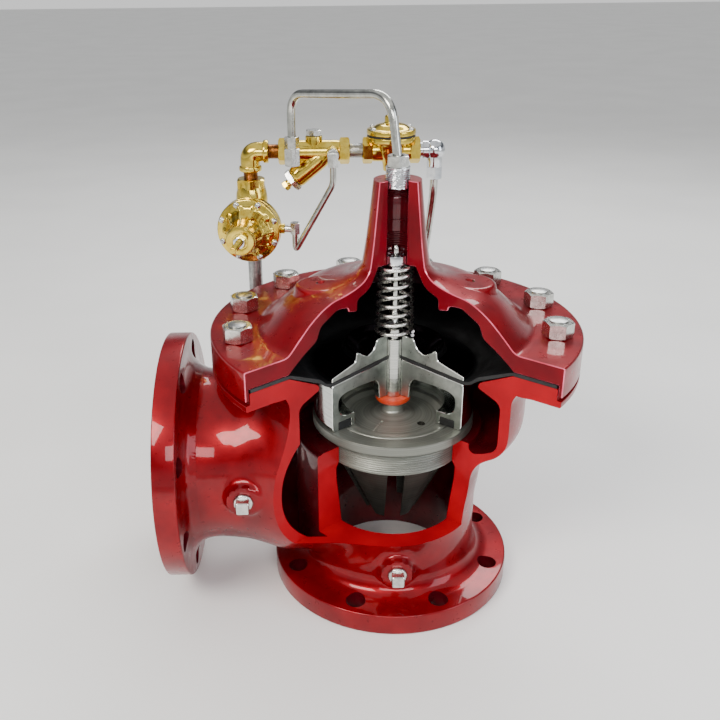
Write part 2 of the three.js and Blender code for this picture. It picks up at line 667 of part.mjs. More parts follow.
function nipples() {
  const left = PILOT_X + ELBOW_REACH - PORT_DEPTH + GAP;
  const leftEnd = STRAINER_LEFT + PORT_DEPTH - GAP;
  const right = STRAINER_RIGHT - PORT_DEPTH + GAP;
  const rightEnd = AUX_LEFT + PORT_DEPTH - GAP;
  const low = PILOT_TOP - PORT_DEPTH + GAP;
  const high = LINE_Z - ELBOW_REACH + PORT_DEPTH - GAP;
  return [
    meshOf('line_nipple', lineX(pipeNipple(leftEnd - left), left), BRONZE),
    meshOf('strainer_nipple', lineX(pipeNipple(rightEnd - right), right), STEEL),
    meshOf('pilot_nipple', placed(pipeNipple(high - low), [PILOT_X, LINE_Y, low]), BRONZE),
  ];
}

// Pilot pieces are drawn about +Z, which becomes the pilot's own axis towards -Y, swung by PILOT_TURN.
function onPilot(solid) {
  return placed(solid.rotate([90, 0, 0]), [PILOT_X, LINE_Y, PILOT_Z], [0, 0, PILOT_TURN * DEG]);
}

const PILOT_SEAM = 20;                 // where the pilot's bonnet meets its body, along its axis
const PILOT_END = 74;                  // end of the spring housing
const PILOT_CHAMBER_R = 14;
const PILOT_SPRING_LOW = 25;
const PILOT_SPRING_HIGH = 54;
const BUTTON_T = 5;
const SCREW_TIP = 110;

function pilotBody() {
  const barrel = placed(join(
    rod(19, PILOT_FOOT + 6, PILOT_TOP - 6),
    hexPrism(32, PILOT_TOP - 12, PILOT_TOP),
    hexPrism(28, PILOT_FOOT, PILOT_FOOT + 12),
  ),
    [PILOT_X, LINE_Y, 0]);
  const flange = onPilot(turned([
    [0, -16], [17, -16], [22, -10], [24, 4], [PILOT_FLANGE_R - 3, 9], [PILOT_FLANGE_R, 11],
    [PILOT_FLANGE_R, PILOT_SEAM - GAP], [0, PILOT_SEAM - GAP],
  ], TRIM_SIDES));
  const sensingBoss = onPilot(placed(rod(6, 20, PILOT_FLANGE_R + 4), [0, 0, 14], TO_X));
  const bores = [
    onPilot(rod(26, 14, PILOT_SEAM + 5)),
    onPilot(rod(5, -8, 20)),
    placed(rod(PIPE_R + GAP, PILOT_TOP - PORT_DEPTH, PILOT_TOP + 1), [PILOT_X, LINE_Y, 0]),
    placed(rod(PIPE_R + GAP, PILOT_FOOT - 1, PILOT_FOOT + PORT_DEPTH), [PILOT_X, LINE_Y, 0]),
    placed(rod(5.5, PILOT_FOOT + 5, PILOT_TOP - 5), [PILOT_X, LINE_Y, 0]),
  ];
  return meshOf('pilot_body', cut(join(barrel, flange, sensingBoss), ...bores), BRASS);
}

function pilotBonnet() {
  const seam = PILOT_SEAM + 2;
  const outline = [
    [26, seam], [PILOT_FLANGE_R, seam], [PILOT_FLANGE_R, seam + 7], [33, seam + 8], [26, seam + 11],
    [20, seam + 24], [17.5, PILOT_END - 12],
    [17.5, PILOT_END - 2], [16, PILOT_END], [PILOT_SCREW_R + GAP, PILOT_END],
    [PILOT_SCREW_R + GAP, PILOT_END - 9],
    [PILOT_CHAMBER_R, PILOT_END - 9], [PILOT_CHAMBER_R, seam + 9], [26, seam + 3],
  ];
  return meshOf('pilot_bonnet', onPilot(turned(outline, TRIM_SIDES)), BRASS);
}

function pilotInside() {
  const rubber = rod(PILOT_FLANGE_R - 0.5, PILOT_SEAM, PILOT_SEAM + 2 - GAP, TRIM_SIDES);
  const poppet = join(
    rod(4, 2, PILOT_SEAM - GAP),
    rod(11, PILOT_SEAM - 3, PILOT_SEAM - GAP),
    rod(4.6, 0, 3),
  );
  const spring = coil(9, 9, 2.6, PILOT_SPRING_LOW, PILOT_SPRING_HIGH - GAP, 5, 8, 2);
  const plate = rod(12, PILOT_SEAM + 2, PILOT_SPRING_LOW - GAP);
  const button = rod(12, PILOT_SPRING_HIGH, PILOT_SPRING_HIGH + BUTTON_T);
  const screw = join(
    rod(PILOT_SCREW_R, PILOT_SPRING_HIGH + BUTTON_T + GAP, SCREW_TIP - 3),
    squarePrism(5, SCREW_TIP - 4, SCREW_TIP),
  );
  const jamNut = cut(
    hexPrism(13, PILOT_END + GAP, PILOT_END + 6),
    rod(PILOT_SCREW_R + GAP, PILOT_END - 2, PILOT_END + 9),
  );
  return [
    meshOf('pilot_diaphragm', onPilot(rubber), BLACK_RUBBER),
    meshOf('pilot_poppet', onPilot(poppet), STAINLESS),
    meshOf('pilot_spring', onPilot(spring), STEEL),
    meshOf('pilot_spring_plate', onPilot(plate), STEEL),
    meshOf('pilot_spring_button', onPilot(button), STEEL),
    meshOf('adjusting_screw', onPilot(screw), BRASS),
    meshOf('adjusting_jam_nut', onPilot(jamNut), STEEL),
  ];
}

// ---------- auxiliary diaphragm valve ----------
function auxiliaryValve() {
  const length = 2 * AUX_HALF;
  const at = (solid) => placed(solid, [AUX_X, LINE_Y, LINE_Z]);
  const seam = 17;
  const shell = join(
    lineX(hexEndedBody(length, 13), AUX_LEFT),
    at(turned(
      [
        [0, -24], [9, -24], [10, -14], [17, -4], [20, 8], [AUX_FLANGE_R, 11], [AUX_FLANGE_R, seam],
        [0, seam],
      ],
      TRIM_SIDES,
    )),
  );
  const bores = [
    lineX(rod(PIPE_R + GAP, -1, PORT_DEPTH), AUX_LEFT),
    lineX(rod(PIPE_R + GAP, length - PORT_DEPTH, length + 1), AUX_LEFT),
    lineX(rod(6, 0, length), AUX_LEFT),
    at(rod(15, 4, seam + 5)),
  ];
  const rubber = at(rod(AUX_FLANGE_R - 0.5, seam + GAP, seam + 2, TRIM_SIDES));
  const bonnet = at(turned([
    [18, seam + 2 + GAP], [AUX_FLANGE_R, seam + 2 + GAP], [AUX_FLANGE_R, seam + 8], [22, seam + 9],
    [17, seam + 13], [8, seam + 14.5],
    [8, seam + 22], [6.5, seam + 23.5], [0, seam + 23.5], [0, seam + 11], [14, seam + 9.5], [18, seam + 5],
  ], TRIM_SIDES));
  const disc = at(join(rod(12, 7, 11), rod(3, 9, seam - GAP)));
  return [
    meshOf('auxiliary_valve_body', cut(shell, ...bores), BRASS),
    meshOf('auxiliary_valve_diaphragm', rubber, BLACK_RUBBER),
    meshOf('auxiliary_valve_cover', bonnet, BRASS),
    meshOf('auxiliary_valve_disc', disc, BRASS),
  ];
}

// ---------- tubing ----------
const COVER_TUBE_X = STRAINER_X - 25;
const TUBE_RISE = 67;                  // height of the cover tube's level run over the tower
const COVER_TUBE_BEND = 24;
const FITTING_Y = LINE_Y - 28;
const SENSE_X = STRAINER_X + 22;

function coverTubing() {
  const collar = TOWER_BORE_R - GAP;
  const foot = TOWER_TOP_Z - 8;
  const top = TOWER_TOP_Z + 24;
  const fitting = cut(
    join(rod(collar, foot, TOWER_TOP_Z + 13), hexPrism(20.6, TOWER_TOP_Z + 12.5, top)),
    rod(TUBE_R + 4 * GAP, TOWER_TOP_Z + 16, top + 1),
    rod(3, foot - 1, TOWER_TOP_Z + 20),
  );
  const low = LINE_Z + 18;
  const elbow = join(
    placed(rod(8.5, 15 + GAP, 28), [COVER_TUBE_X, LINE_Y, LINE_Z], TO_MINUS_Y),
    placed(hexPrism(17, -11, 9), [COVER_TUBE_X, FITTING_Y, LINE_Z]),
    placed(hexPrism(15, 8, 22, 30), [COVER_TUBE_X, FITTING_Y, LINE_Z]),
  );
  const socket = placed(rod(TUBE_R + GAP, 10, 30), [COVER_TUBE_X, FITTING_Y, LINE_Z]);
  const route = [
    [COVER_TUBE_X, FITTING_Y, low], [COVER_TUBE_X, FITTING_Y, TOWER_TOP_Z + TUBE_RISE],
    [-8, 6, TOWER_TOP_Z + TUBE_RISE + 15], [0, 0, TOWER_TOP_Z + 17],
  ];
  return [
    meshOf('cover_fitting', fitting, STEEL),
    meshOf('strainer_tube_elbow', cut(elbow, socket), STEEL),
    meshOf('cover_tube', tubeAlong(route, COVER_TUBE_BEND, TUBE_R, 32), STAINLESS),
  ];
}

const SENSE_Y = LINE_Y - 25;
const PILOT_SIDE_X = PILOT_X + 55;

function sensingTubing() {
  const upper = cut(
    join(
      placed(rod(7, 15 + GAP, 28), [SENSE_X, LINE_Y, LINE_Z], TO_MINUS_Y),
      placed(hexPrism(12, -14, 2), [SENSE_X, SENSE_Y, LINE_Z]),
    ),
    placed(rod(TUBE_R - 1 + GAP, -20, -5), [SENSE_X, SENSE_Y, LINE_Z]),
  );
  const stub = PILOT_FLANGE_R + 4 + GAP;
  const lower = onPilot(join(
    placed(rod(4.5, stub, stub + 12), [0, 0, 14], TO_X),
    placed(hexPrism(11, -6, 8).rotate([-90, 0, 0]), [stub + 12, 0, 14]),
  ));
  const mouth = new THREE.Vector3(stub + 12, 0, 14);
  mouth.applyEuler(new THREE.Euler(Math.PI / 2, 0, 0)).applyEuler(new THREE.Euler(0, 0, PILOT_TURN * DEG));
  mouth.add(new THREE.Vector3(PILOT_X, LINE_Y, PILOT_Z));
  const route = [
    [mouth.x, mouth.y, mouth.z - 6 - GAP], [mouth.x, mouth.y, mouth.z - 27],
    [SENSE_X, SENSE_Y, LINE_Z - 34],
    [SENSE_X, SENSE_Y, LINE_Z - 7],
  ];
  return [
    meshOf('sensing_elbow', upper, STEEL),
    meshOf('pilot_side_elbow', lower, STEEL),
    meshOf('sensing_tube', tubeAlong(route, 7, TUBE_R - 1, 26, 6), STAINLESS),
  ];
}

function bodyTubing() {
  const elbowX = AUX_RIGHT + 18;
  const elbow = cut(
    join(
      lineX(rod(PIPE_R, -PORT_DEPTH + GAP, 14), AUX_RIGHT),
      placed(ball(12), [elbowX, LINE_Y, LINE_Z]),
      placed(rod(9, -20, 0), [elbowX, LINE_Y, LINE_Z]),
      placed(hexPrism(17, -34, -19), [elbowX, LINE_Y, LINE_Z]),
    ),
    placed(rod(TUBE_R + GAP, -40, -22), [elbowX, LINE_Y, LINE_Z]),
  );
  const back = CASE_R + 18;
  const outletRoute = [
    [elbowX, LINE_Y, LINE_Z - 24], [elbowX, LINE_Y, LINE_Z - 52], [elbowX - 2, back, 312], [20, back, 190],
    [0, back, 120],
    [0, back, LOW_PLUG_Z], [0, LOW_FACE + 12, LOW_PLUG_Z],
  ];
  const outletFitting = cut(
    placed(
      join(rod(PLUG_R, LOW_FACE - 15, LOW_FACE + 1), hexPrism(22, LOW_FACE + GAP, LOW_FACE + 22)),
      [0, 0, LOW_PLUG_Z],
      TO_Y,
    ),
    placed(rod(TUBE_R + GAP, LOW_FACE + 11, LOW_FACE + 30), [0, 0, LOW_PLUG_Z], TO_Y),
  );
  const neck = SIDE_FACE;
  const streetElbow = join(
    placed(
      join(rod(PLUG_R, neck - 15, neck + 2), rod(13, neck + GAP, neck + 14)),
      [PILOT_X - 3, 0, INLET_Z],
      TO_Y,
    ),
    tubeAlong(
      [[PILOT_X - 3, neck + 8, INLET_Z], [PILOT_X - 3, LINE_Y, INLET_Z], [PILOT_X, LINE_Y, INLET_Z + 26]],
      18,
      12,
      12,
    ),
    placed(rod(14, 16, 26), [PILOT_X, LINE_Y, INLET_Z]),
  );
  const mouth = placed(rod(PIPE_R + GAP, 15, 30), [PILOT_X, LINE_Y, INLET_Z]);
  const pipe = placed(
    ring(6, PIPE_R, INLET_Z + 15 + GAP, PILOT_FOOT + PORT_DEPTH - GAP),
    [PILOT_X, LINE_Y, 0],
  );
  return [
    meshOf('auxiliary_outlet_elbow', elbow, STEEL),
    meshOf('outlet_tube', tubeAlong(outletRoute, 20, TUBE_R, 40, 6), STAINLESS),
    meshOf('outlet_tube_fitting', outletFitting, STEEL),
    meshOf('supply_elbow', cut(streetElbow, mouth), STEEL),
    meshOf('supply_pipe', pipe, STEEL),
  ];
}

// ---------- the valve ----------
const valve = new THREE.Group();
valve.add(
  body(), cover(), ...coverStuds(), seatRing(), stem(), ...stemHardware(), diaphragmWasher(), discRetainer(),
  seatDisc(), throttlingPlug(), hubSeal(), diaphragm(), mainSpring(), ...bodyPlugs(),
);
valve.add(
  ...strainer(), lineElbow(), ...nipples(), pilotBody(), pilotBonnet(), ...pilotInside(), ...auxiliaryValve(),
  ...coverTubing(), ...sensingTubing(), ...bodyTubing(),
);

// The whole stands with the middle of its footprint box on the origin.
const box = new THREE.Box3().setFromObject(valve);
const middle = box.getCenter(new THREE.Vector3());
valve.position.set(-middle.x, -middle.y, -box.min.z);

const part = new THREE.Group();
part.add(valve);
export default part;
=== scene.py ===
"""Cutaway of a pilot-operated pressure reducing valve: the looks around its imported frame.

Shapes are worked out in millimetres from the stem's axis and the outlet face, +Z up, and put into the
frame in metres. A wedge towards -Y is open, so the stem, spring, diaphragm, seat and plug show.
"""

import math

import bmesh
import bpy
import numpy as np
from mathutils import Matrix, Vector


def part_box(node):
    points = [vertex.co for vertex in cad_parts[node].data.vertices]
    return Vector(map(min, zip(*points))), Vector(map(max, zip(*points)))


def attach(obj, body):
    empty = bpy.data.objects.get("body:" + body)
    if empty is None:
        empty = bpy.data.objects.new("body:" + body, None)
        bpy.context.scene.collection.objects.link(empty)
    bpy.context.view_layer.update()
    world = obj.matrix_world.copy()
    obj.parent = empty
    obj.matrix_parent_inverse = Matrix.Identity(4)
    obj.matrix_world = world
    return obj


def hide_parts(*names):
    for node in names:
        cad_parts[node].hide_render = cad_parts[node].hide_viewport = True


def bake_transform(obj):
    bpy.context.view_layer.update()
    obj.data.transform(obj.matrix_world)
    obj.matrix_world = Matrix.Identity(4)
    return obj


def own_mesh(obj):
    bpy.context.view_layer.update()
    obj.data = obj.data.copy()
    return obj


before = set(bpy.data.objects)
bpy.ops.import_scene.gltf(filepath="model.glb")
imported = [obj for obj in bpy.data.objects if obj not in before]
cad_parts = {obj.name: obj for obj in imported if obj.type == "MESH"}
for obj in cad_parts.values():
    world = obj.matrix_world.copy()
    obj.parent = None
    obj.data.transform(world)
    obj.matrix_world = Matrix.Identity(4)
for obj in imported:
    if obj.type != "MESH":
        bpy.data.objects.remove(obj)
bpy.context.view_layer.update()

MM = 0.001
STEM_LOW, STEM_HIGH = (np.array(corner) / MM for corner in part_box("stem"))
ORIGIN = np.array([(STEM_LOW[0] + STEM_HIGH[0]) / 2, (STEM_LOW[1] + STEM_HIGH[1]) / 2, 0.0])

# ---------- sizes of the valve, millimetres ----------
GAP = 0.3
CUT_HALF = 50.4                # half angle of the open wedge
CUT_START = -90 + CUT_HALF     # first cut face, degrees from +X
CUT_SWEEP = 360 - 2 * CUT_HALF
CUT_FLOOR = 90
FLANGE_R, FLANGE_T = 139.7, 24.5
BOLT_CIRCLE_R, BOLT_HOLE_R, BOLT_HOLES = 120.65, 11.1, 8
LINE_BORE_R = 76
INLET_FACE_X, INLET_Z = -254, 154
INLET_NECK_R, INLET_BULGE_R, INLET_INNER_R = 97, 113, 103.5
OUTLET_NECK_R = 98
SEAT_LAND_Z, SEAT_THREAD_R, SEAT_RING_R, SEAT_TOP_Z = 197, 81, 91.3, 208
WEB_R, BOSS_R, BOWL_R, BOWL_OUT_R = 111.5, 101, 135, 147
CLAMP_Z, CASE_R, SPIGOT_R = 290.5, 200, 195
DIAPHRAGM_T, DIAPHRAGM_R, CLAMP_INNER_R = 3.6, 193.6, 146
COVER_TOP_Z, COVER_SKIRT_Z = 314, 282.3
TOWER_TOP_Z, TOWER_TOP_R, TOWER_BORE_R = 470, 24.7, 12.8
SPRING_SEAT_Z = 381.4
PAD_X, PAD_R, PAD_Z = 80, 28, 359.5
STUD_CIRCLE_R, STUD_R, STUD_TOP_Z, STUD_STEP, STUDS = 172.7, 9.5, 333.4, 30, 8
NUT_FLATS, NUT_H = 28.6, 16.3
STEM_R, STEM_THREAD_R, GUIDE_R = 10, 6, 4.6
HUB_TOP_Z, WASHER_R = 300, 89.6
RETAINER_R, DISC_IN_R, DISC_OUT_R, DISC_T = 90, 63, 80.5, 9
LINE_Y, LINE_Z = 160, 468
PIPE_R, TUBE_R = 8.6, 4.75
PILOT_X, PILOT_Z, PILOT_TURN, PILOT_FLANGE_R = -162, 380, -8, 38
PILOT_SEAM, PILOT_END, PILOT_TIP, PILOT_SCREW_R = 20, 74, 110, 4
AUX_X, AUX_HALF, AUX_FLANGE_R, AUX_SEAM = 5, 34, 29, 17
STRAINER_X, STRAINER_HALF = -86, 42
PLUG_R, PLUG_BOSS_R = 10.5, 18
SIDE_PLUG_X, SIDE_FACE = -165, 108
LOW_PLUG_Z, LOW_FACE = 57, 110

TO_X, TO_MINUS_Y, TO_Y = (0, 90, 0), (90, 0, 0), (-90, 0, 0)


# ---------- camera ----------
def camera():
    """The lens stands in front, above the cover, and looks a quarter of a right angle down."""
    yaw, pitch, roll = (math.radians(a) for a in (-0.438, 25.206, -0.621))
    right = Vector((math.cos(yaw), math.sin(yaw), 0))
    ahead = Vector((-math.sin(yaw) * math.cos(pitch), math.cos(yaw) * math.cos(pitch),
                    -math.sin(pitch)))
    above = right.cross(ahead)
    side = math.cos(roll) * right + math.sin(roll) * above
    top = math.cos(roll) * above - math.sin(roll) * right
    data = bpy.data.cameras.new("camera")
    data.lens = 43.57
    data.shift_x = 0.0392
    data.shift_y = 0.0168
    eye = bpy.data.objects.new("camera", data)
    turn = Matrix((side, top, -ahead)).transposed().to_4x4()
    eye.matrix_world = Matrix.Translation((-0.04884, -0.92433, 0.66987)) @ turn
    bpy.context.scene.collection.objects.link(eye)
    bpy.context.scene.camera = eye


camera()


# ---------- materials ----------
def linear(hex_colour):
    """An sRGB hex colour as linear red, green, blue and alpha."""
    channels = [int(hex_colour[i:i + 2], 16) / 255 for i in (1, 3, 5)]
    return [c / 12.92 if c <= 0.04045 else ((c + 0.055) / 1.055) ** 2.4 for c in channels] + [1.0]


def node(tree, kind, inputs=None, **settings):
    """Adds a node with its settings. An input is a value, or another node's socket to be linked."""
    new = tree.nodes.new(kind)
    for key, value in settings.items():
        setattr(new, key, value)
    for key, value in (inputs or {}).items():
        if isinstance(value, bpy.types.NodeSocket):
            tree.links.new(value, new.inputs[key])
        else:
            new.inputs[key].default_value = value
    return new


def blank(name, **shader):
    """A material with only its shader and the object's own coordinates in millimetres."""
    made = bpy.data.materials.new(name)
    made.use_nodes = True
    tree = made.node_tree
    surface = tree.nodes["Principled BSDF"]
    for key, value in shader.items():
        surface.inputs[key.replace("_", " ")].default_value = value
    where = node(tree, "ShaderNodeTexCoord")
    size = (1 / MM, 1 / MM, 1 / MM)
    scaled = node(tree, "ShaderNodeMapping", {"Vector": where.outputs["Object"], "Scale": size})
    return made, tree, surface, scaled.outputs["Vector"]


def noise(tree, vector, grain, detail=2.0, rough=0.5):
    """Noise whose lumps are about `grain` millimetres across."""
    made = node(tree, "ShaderNodeTexNoise", {
        "Vector": vector, "Scale": 1 / grain, "Detail": detail, "Roughness": rough})
    return made.outputs["Fac"]


def shades(tree, factor, dark, light, low=0.35, high=0.65):
    """Two colours, with a smooth change between them where the factor goes from low to high."""
    ramp = node(tree, "ShaderNodeValToRGB", {"Fac": factor})
    ramp.color_ramp.elements[0].position = low
    ramp.color_ramp.elements[0].color = linear(dark)
    ramp.color_ramp.elements[1].position = high
    ramp.color_ramp.elements[1].color = linear(light)
    return ramp.outputs["Color"]


def spread(tree, factor, low, high):
    """The factor from 0.3 to 0.7 carried to a range of roughness."""
    made = node(tree, "ShaderNodeMapRange", {
        "Value": factor, "From Min": 0.3, "From Max": 0.7, "To Min": low, "To Max": high})
    return made.outputs["Result"]


def relief(tree, surface, height, depth):
    """Bump of a depth in millimetres."""
    bump = node(tree, "ShaderNodeBump", {"Height": height, "Distance": depth * MM, "Strength": 1.0})
    tree.links.new(bump.outputs["Normal"], surface.inputs["Normal"])


def enamel(name, dark, light, gloss, metal, coat, peel=0.02):
    """Candy red stove enamel: tinted lacquer over a bright base, sprayed, so it has soft orange peel
    about 3 mm across, and runs a little deeper in colour where it lies thicker."""
    made, tree, surface, mm = blank(
        name, Metallic=metal, Coat_Weight=coat, Coat_Roughness=0.04, Coat_IOR=1.5,
        Specular_IOR_Level=0.1)
    thick = noise(tree, mm, 40, 3)
    tree.links.new(shades(tree, thick, dark, light), surface.inputs["Base Color"])
    tree.links.new(spread(tree, noise(tree, mm, 9, 4), gloss - 0.04, gloss + 0.06),
                   surface.inputs["Roughness"])
    relief(tree, surface, noise(tree, mm, 3.2, 1), peel)
    return made


def metal(name, dark, light, low, high, grain=6.0, depth=0.012, fine=1.2):
    """A bare or plated metal: colour and polish drift over `grain` mm, with a fine handling texture."""
    made, tree, surface, mm = blank(name, Metallic=1.0)
    drift = noise(tree, mm, grain, 4, 0.6)
    tree.links.new(shades(tree, drift, dark, light), surface.inputs["Base Color"])
    tree.links.new(spread(tree, noise(tree, mm, grain / 3, 5, 0.65), low, high),
                   surface.inputs["Roughness"])
    relief(tree, surface, noise(tree, mm, fine, 3), depth)
    return made


def lathe_turned(name, dark, light, low, high, pitch, depth, metallic=1.0):
    """Metal turned on a lathe: rings `pitch` mm apart about the piece's own axis, drawn coarser than the
    real tool marks so that they show, with the colour a little uneven between rings."""
    made, tree, surface, mm = blank(name, Metallic=metallic)
    where = [float(c) for c in ORIGIN]
    moved = node(tree, "ShaderNodeVectorMath", {0: mm, 1: where}, operation="SUBTRACT").outputs[0]
    axes = node(tree, "ShaderNodeSeparateXYZ", {"Vector": moved})
    flat = node(tree, "ShaderNodeCombineXYZ", {"X": axes.outputs["X"], "Y": axes.outputs["Y"]})
    radius = node(tree, "ShaderNodeVectorMath", {0: flat.outputs["Vector"]},
                  operation="LENGTH").outputs["Value"]
    rings = node(tree, "ShaderNodeCombineXYZ", {"X": radius, "Z": axes.outputs["Z"]}).outputs["Vector"]
    marks = noise(tree, rings, pitch, 3, 0.6)
    tree.links.new(shades(tree, marks, dark, light), surface.inputs["Base Color"])
    tree.links.new(spread(tree, noise(tree, mm, 14, 3), low, high), surface.inputs["Roughness"])
    relief(tree, surface, marks, depth)
    return made


def moulded(name, dark, light, gloss, grain, depth):
    """Moulded rubber: dull, with a fine cloth-like grain left by the mould and the fabric inside."""
    made, tree, surface, mm = blank(name)
    tree.links.new(shades(tree, noise(tree, mm, 18, 3), dark, light), surface.inputs["Base Color"])
    tree.links.new(spread(tree, noise(tree, mm, 5, 3), gloss - 0.08, gloss + 0.08),
                   surface.inputs["Roughness"])
    relief(tree, surface, noise(tree, mm, grain, 2), depth)
    return made


# a deep wet red that mirrors pale shapes sharply
CASTING_ENAMEL = enamel("candy_red_enamel", "#6e000b", "#8a000e", 0.3, 0.45, 0.5, 0.015)
# sawn cover iron under one thin coat, with hardly any mirror: the same red, made darker as painted shade,
# a shaded copy of the body's cut
CUT_ENAMEL = enamel("red_enamel_on_cut_face", "#5a000c", "#700010", 0.45, 0.0, 0.15, 0.01)
# the body's sawn faces: flat and brighter, with more light falling on them
BODY_CUT_ENAMEL = enamel("red_enamel_on_body_cut", "#8e000f", "#a20013", 0.45, 0.0, 0.15, 0.01)
# painted highlight: a pale pink line put on the chamfer along the rim of a cut, standing in for the light
# the edge catches
HIGHLIGHT_EDGE_ENAMEL = enamel("painted_highlight_edge_enamel", "#c83a50", "#e8708a", 0.2, 0.3, 1.0, 0.004)
# painted shade: the dome's underside made close to black, where shade falls
SHADE_INSIDE_ENAMEL = enamel("painted_shade_under_dome", "#1a0308", "#2c060e", 0.3, 0.1, 0.7, 0.02)
# painted shade: the body's hollow, passages and bore given a dull dark red
SHADE_PASSAGE_ENAMEL = enamel("painted_shade_passage", "#45040c", "#5e0812", 0.3, 0.2, 0.8, 0.02)
# painted shade: drilled holes and the tower's bore given a dark red with a slight shine
SHADE_BORE_ENAMEL = enamel("painted_shade_bore", "#4a0610", "#680a18", 0.3, 0.4, 0.8, 0.02)
# nuts, plugs and elbows: light grey, with soft broken reflections
ZINC = metal("bright_zinc_plate", "#b9b9b4", "#dcdcd6", 0.14, 0.3, 5.0, 0.02, 1.0)
# polished fittings: near-white with hard dark reflections
CHROME = metal("polished_chrome", "#c4c8cc", "#e2e4e6", 0.06, 0.14, 9.0, 0.006, 2.0)
# a bright white line along each turn
SPRING_STEEL = metal("bright_spring_wire", "#d2d1cb", "#efeee8", 0.22, 0.32, 7.0, 0.006, 1.0)
# drawn tube: smooth grey with long highlights
TUBE_STEEL = metal("drawn_stainless_tube", "#a9aaa4", "#cccdc6", 0.14, 0.24, 9.0, 0.006, 1.5)
# galvanised steel: matt mid grey, faintly mottled
PLATED_PIPE = metal("galvanised_pipe", "#8f9090", "#b4b4b0", 0.25, 0.42, 6.0, 0.02, 1.0)
# buffed castings: lemon gold with sharp reflections
BRASS = metal("polished_brass", "#ccaa3a", "#e6cc60", 0.1, 0.2, 12.0, 0.012, 2.4)
# unpolished ports: browner and softer
DULL_BRASS = metal("cast_brass", "#b5832f", "#d6a74a", 0.2, 0.34, 7.0, 0.03, 1.6)
# red brass nipples: brown against the yellow castings
BRONZE = metal("red_bronze_pipe", "#6e3f20", "#94602f", 0.25, 0.4, 5.0, 0.02, 1.2)
# painted shade and reflection: a dark grey mirror with faint rings, darkened for the shade under the dome
# and the black rubber it mirrors
SHADED_WASHER_SKIN = lathe_turned("polished_washer_face_painted_shade", "#6d6a72", "#97949c", 0.1, 0.2, 2.2, 0.006)
# sawn and polished stainless: satin grey
CUT_STEEL = metal("satin_cut_stainless", "#8f958f", "#b3b8b1", 0.26, 0.42, 16.0, 0.014, 1.4)
# painted highlight: a thin near-white line put on the chamfer along the rim of a cut
HIGHLIGHT_EDGE_STEEL = metal("painted_highlight_edge_stainless", "#dcded9", "#f4f5f1", 0.14, 0.24, 8.0, 0.004, 2.0)
# turned and buffed: bright bands round the rim
RETAINER_SKIN = lathe_turned("polished_retainer", "#b5b7b4", "#d6d8d4", 0.08, 0.16, 3.0, 0.006)
# machined and left: even mid grey with close rings
SEAT_STEEL = lathe_turned("machined_seat_ring", "#6d6f68", "#868880", 0.36, 0.5, 1.6, 0.01, 0.7)
# faced on a lathe: paler rings that catch the light as fans
PLUG_STEEL = lathe_turned("turned_plug_face", "#84867e", "#a5a79e", 0.32, 0.44, 2.0, 0.008, 0.7)
# painted shade: the plug's cone down in the bore, with its slots and drain hole, given a dark dull copy of
# the turned steel
SHADED_CONE_STEEL = lathe_turned("painted_shade_plug_cone", "#35342f", "#4c4b45", 0.4, 0.55, 2.4, 0.015, 0.7)
# ground bar: pale with fine rings
STEM_STEEL = lathe_turned("ground_stem", "#a5a7a2", "#cbccc6", 0.12, 0.22, 1.4, 0.006)
# nitrile over cloth: black, dull, finely grained
RUBBER = moulded("black_nitrile_rubber", "#0b0b0c", "#191a1b", 0.5, 1.1, 0.03)
# orange elastomer: matt, the one warm spot inside
SEAL = moulded("orange_seal_rubber", "#b92d10", "#dc4a20", 0.35, 1.6, 0.02)


# ---------- surfaces ----------
def rotation(turn):
    """Turns about X, then Y, then Z, in degrees."""
    x, y, z = (math.radians(a) for a in turn)
    about_x = np.array([[1, 0, 0], [0, math.cos(x), -math.sin(x)], [0, math.sin(x), math.cos(x)]])
    about_y = np.array([[math.cos(y), 0, math.sin(y)], [0, 1, 0], [-math.sin(y), 0, math.cos(y)]])
    about_z = np.array([[math.cos(z), -math.sin(z), 0], [math.sin(z), math.cos(z), 0], [0, 0, 1]])
    return about_z @ about_y @ about_x


def quads(rows, columns, closed_rows=False, closed_columns=True):
    """The faces of a grid of points, row by row."""
    row = np.arange(rows if closed_rows else rows - 1)[:, None]
    column = np.arange(columns if closed_columns else columns - 1)[None, :]
    below, beside = (row + 1) % rows, (column + 1) % columns
    corners = [row * columns + column, row * columns + beside, below * columns + beside,
               below * columns + column]
    return np.stack([np.broadcast_to(c, (row.size, column.size)) for c in corners], -1).reshape(-1, 4)


def capped(rows, columns):
    """The faces of a grid of points whose first and last rows are closed with a face each."""
    ends = [list(range(columns)), list(range((rows - 1) * columns, rows * columns))]
    return quads(rows, columns).tolist() + ends


def unit(vectors):
    """The same directions with a length of one."""
    return vectors / np.maximum(np.linalg.norm(vectors, axis=-1, keepdims=True), 1e-9)


def rounded(corners, reach, steps=5, closed=True):
    """Corners softened: each becomes a parabola that leaves one edge `reach` mm before the corner and
    joins the next as far after it, or at 45% of the shorter edge where that is less."""
    c = np.asarray(corners, float)
    back, on = np.roll(c, 1, 0) - c, np.roll(c, -1, 0) - c
    shorter = np.minimum(np.linalg.norm(back, axis=1), np.linalg.norm(on, axis=1))
    step = np.minimum(reach, 0.45 * shorter)[:, None]
    start, end = c + unit(back) * step, c + unit(on) * step
    s = np.linspace(0, 1, steps)[None, :, None]
    curve = (1 - s) ** 2 * start[:, None] + 2 * s * (1 - s) * c[:, None] + s ** 2 * end[:, None]
    if closed:
        return curve.reshape(-1, c.shape[1])
    return np.vstack([c[:1], curve[1:-1].reshape(-1, c.shape[1]), c[-1:]])


def densified(points, step):
    """Points along the closed line through these, at most `step` mm apart."""
    p = np.asarray(points, float)
    ends = np.roll(p, -1, 0)
    counts = np.maximum(1, np.ceil(np.linalg.norm(ends - p, axis=1) / step)).astype(int)
    which = np.repeat(np.arange(len(p)), counts)
    share = np.concatenate([np.arange(n) / n for n in counts])[:, None]
    return p[which] * (1 - share) + ends[which] * share


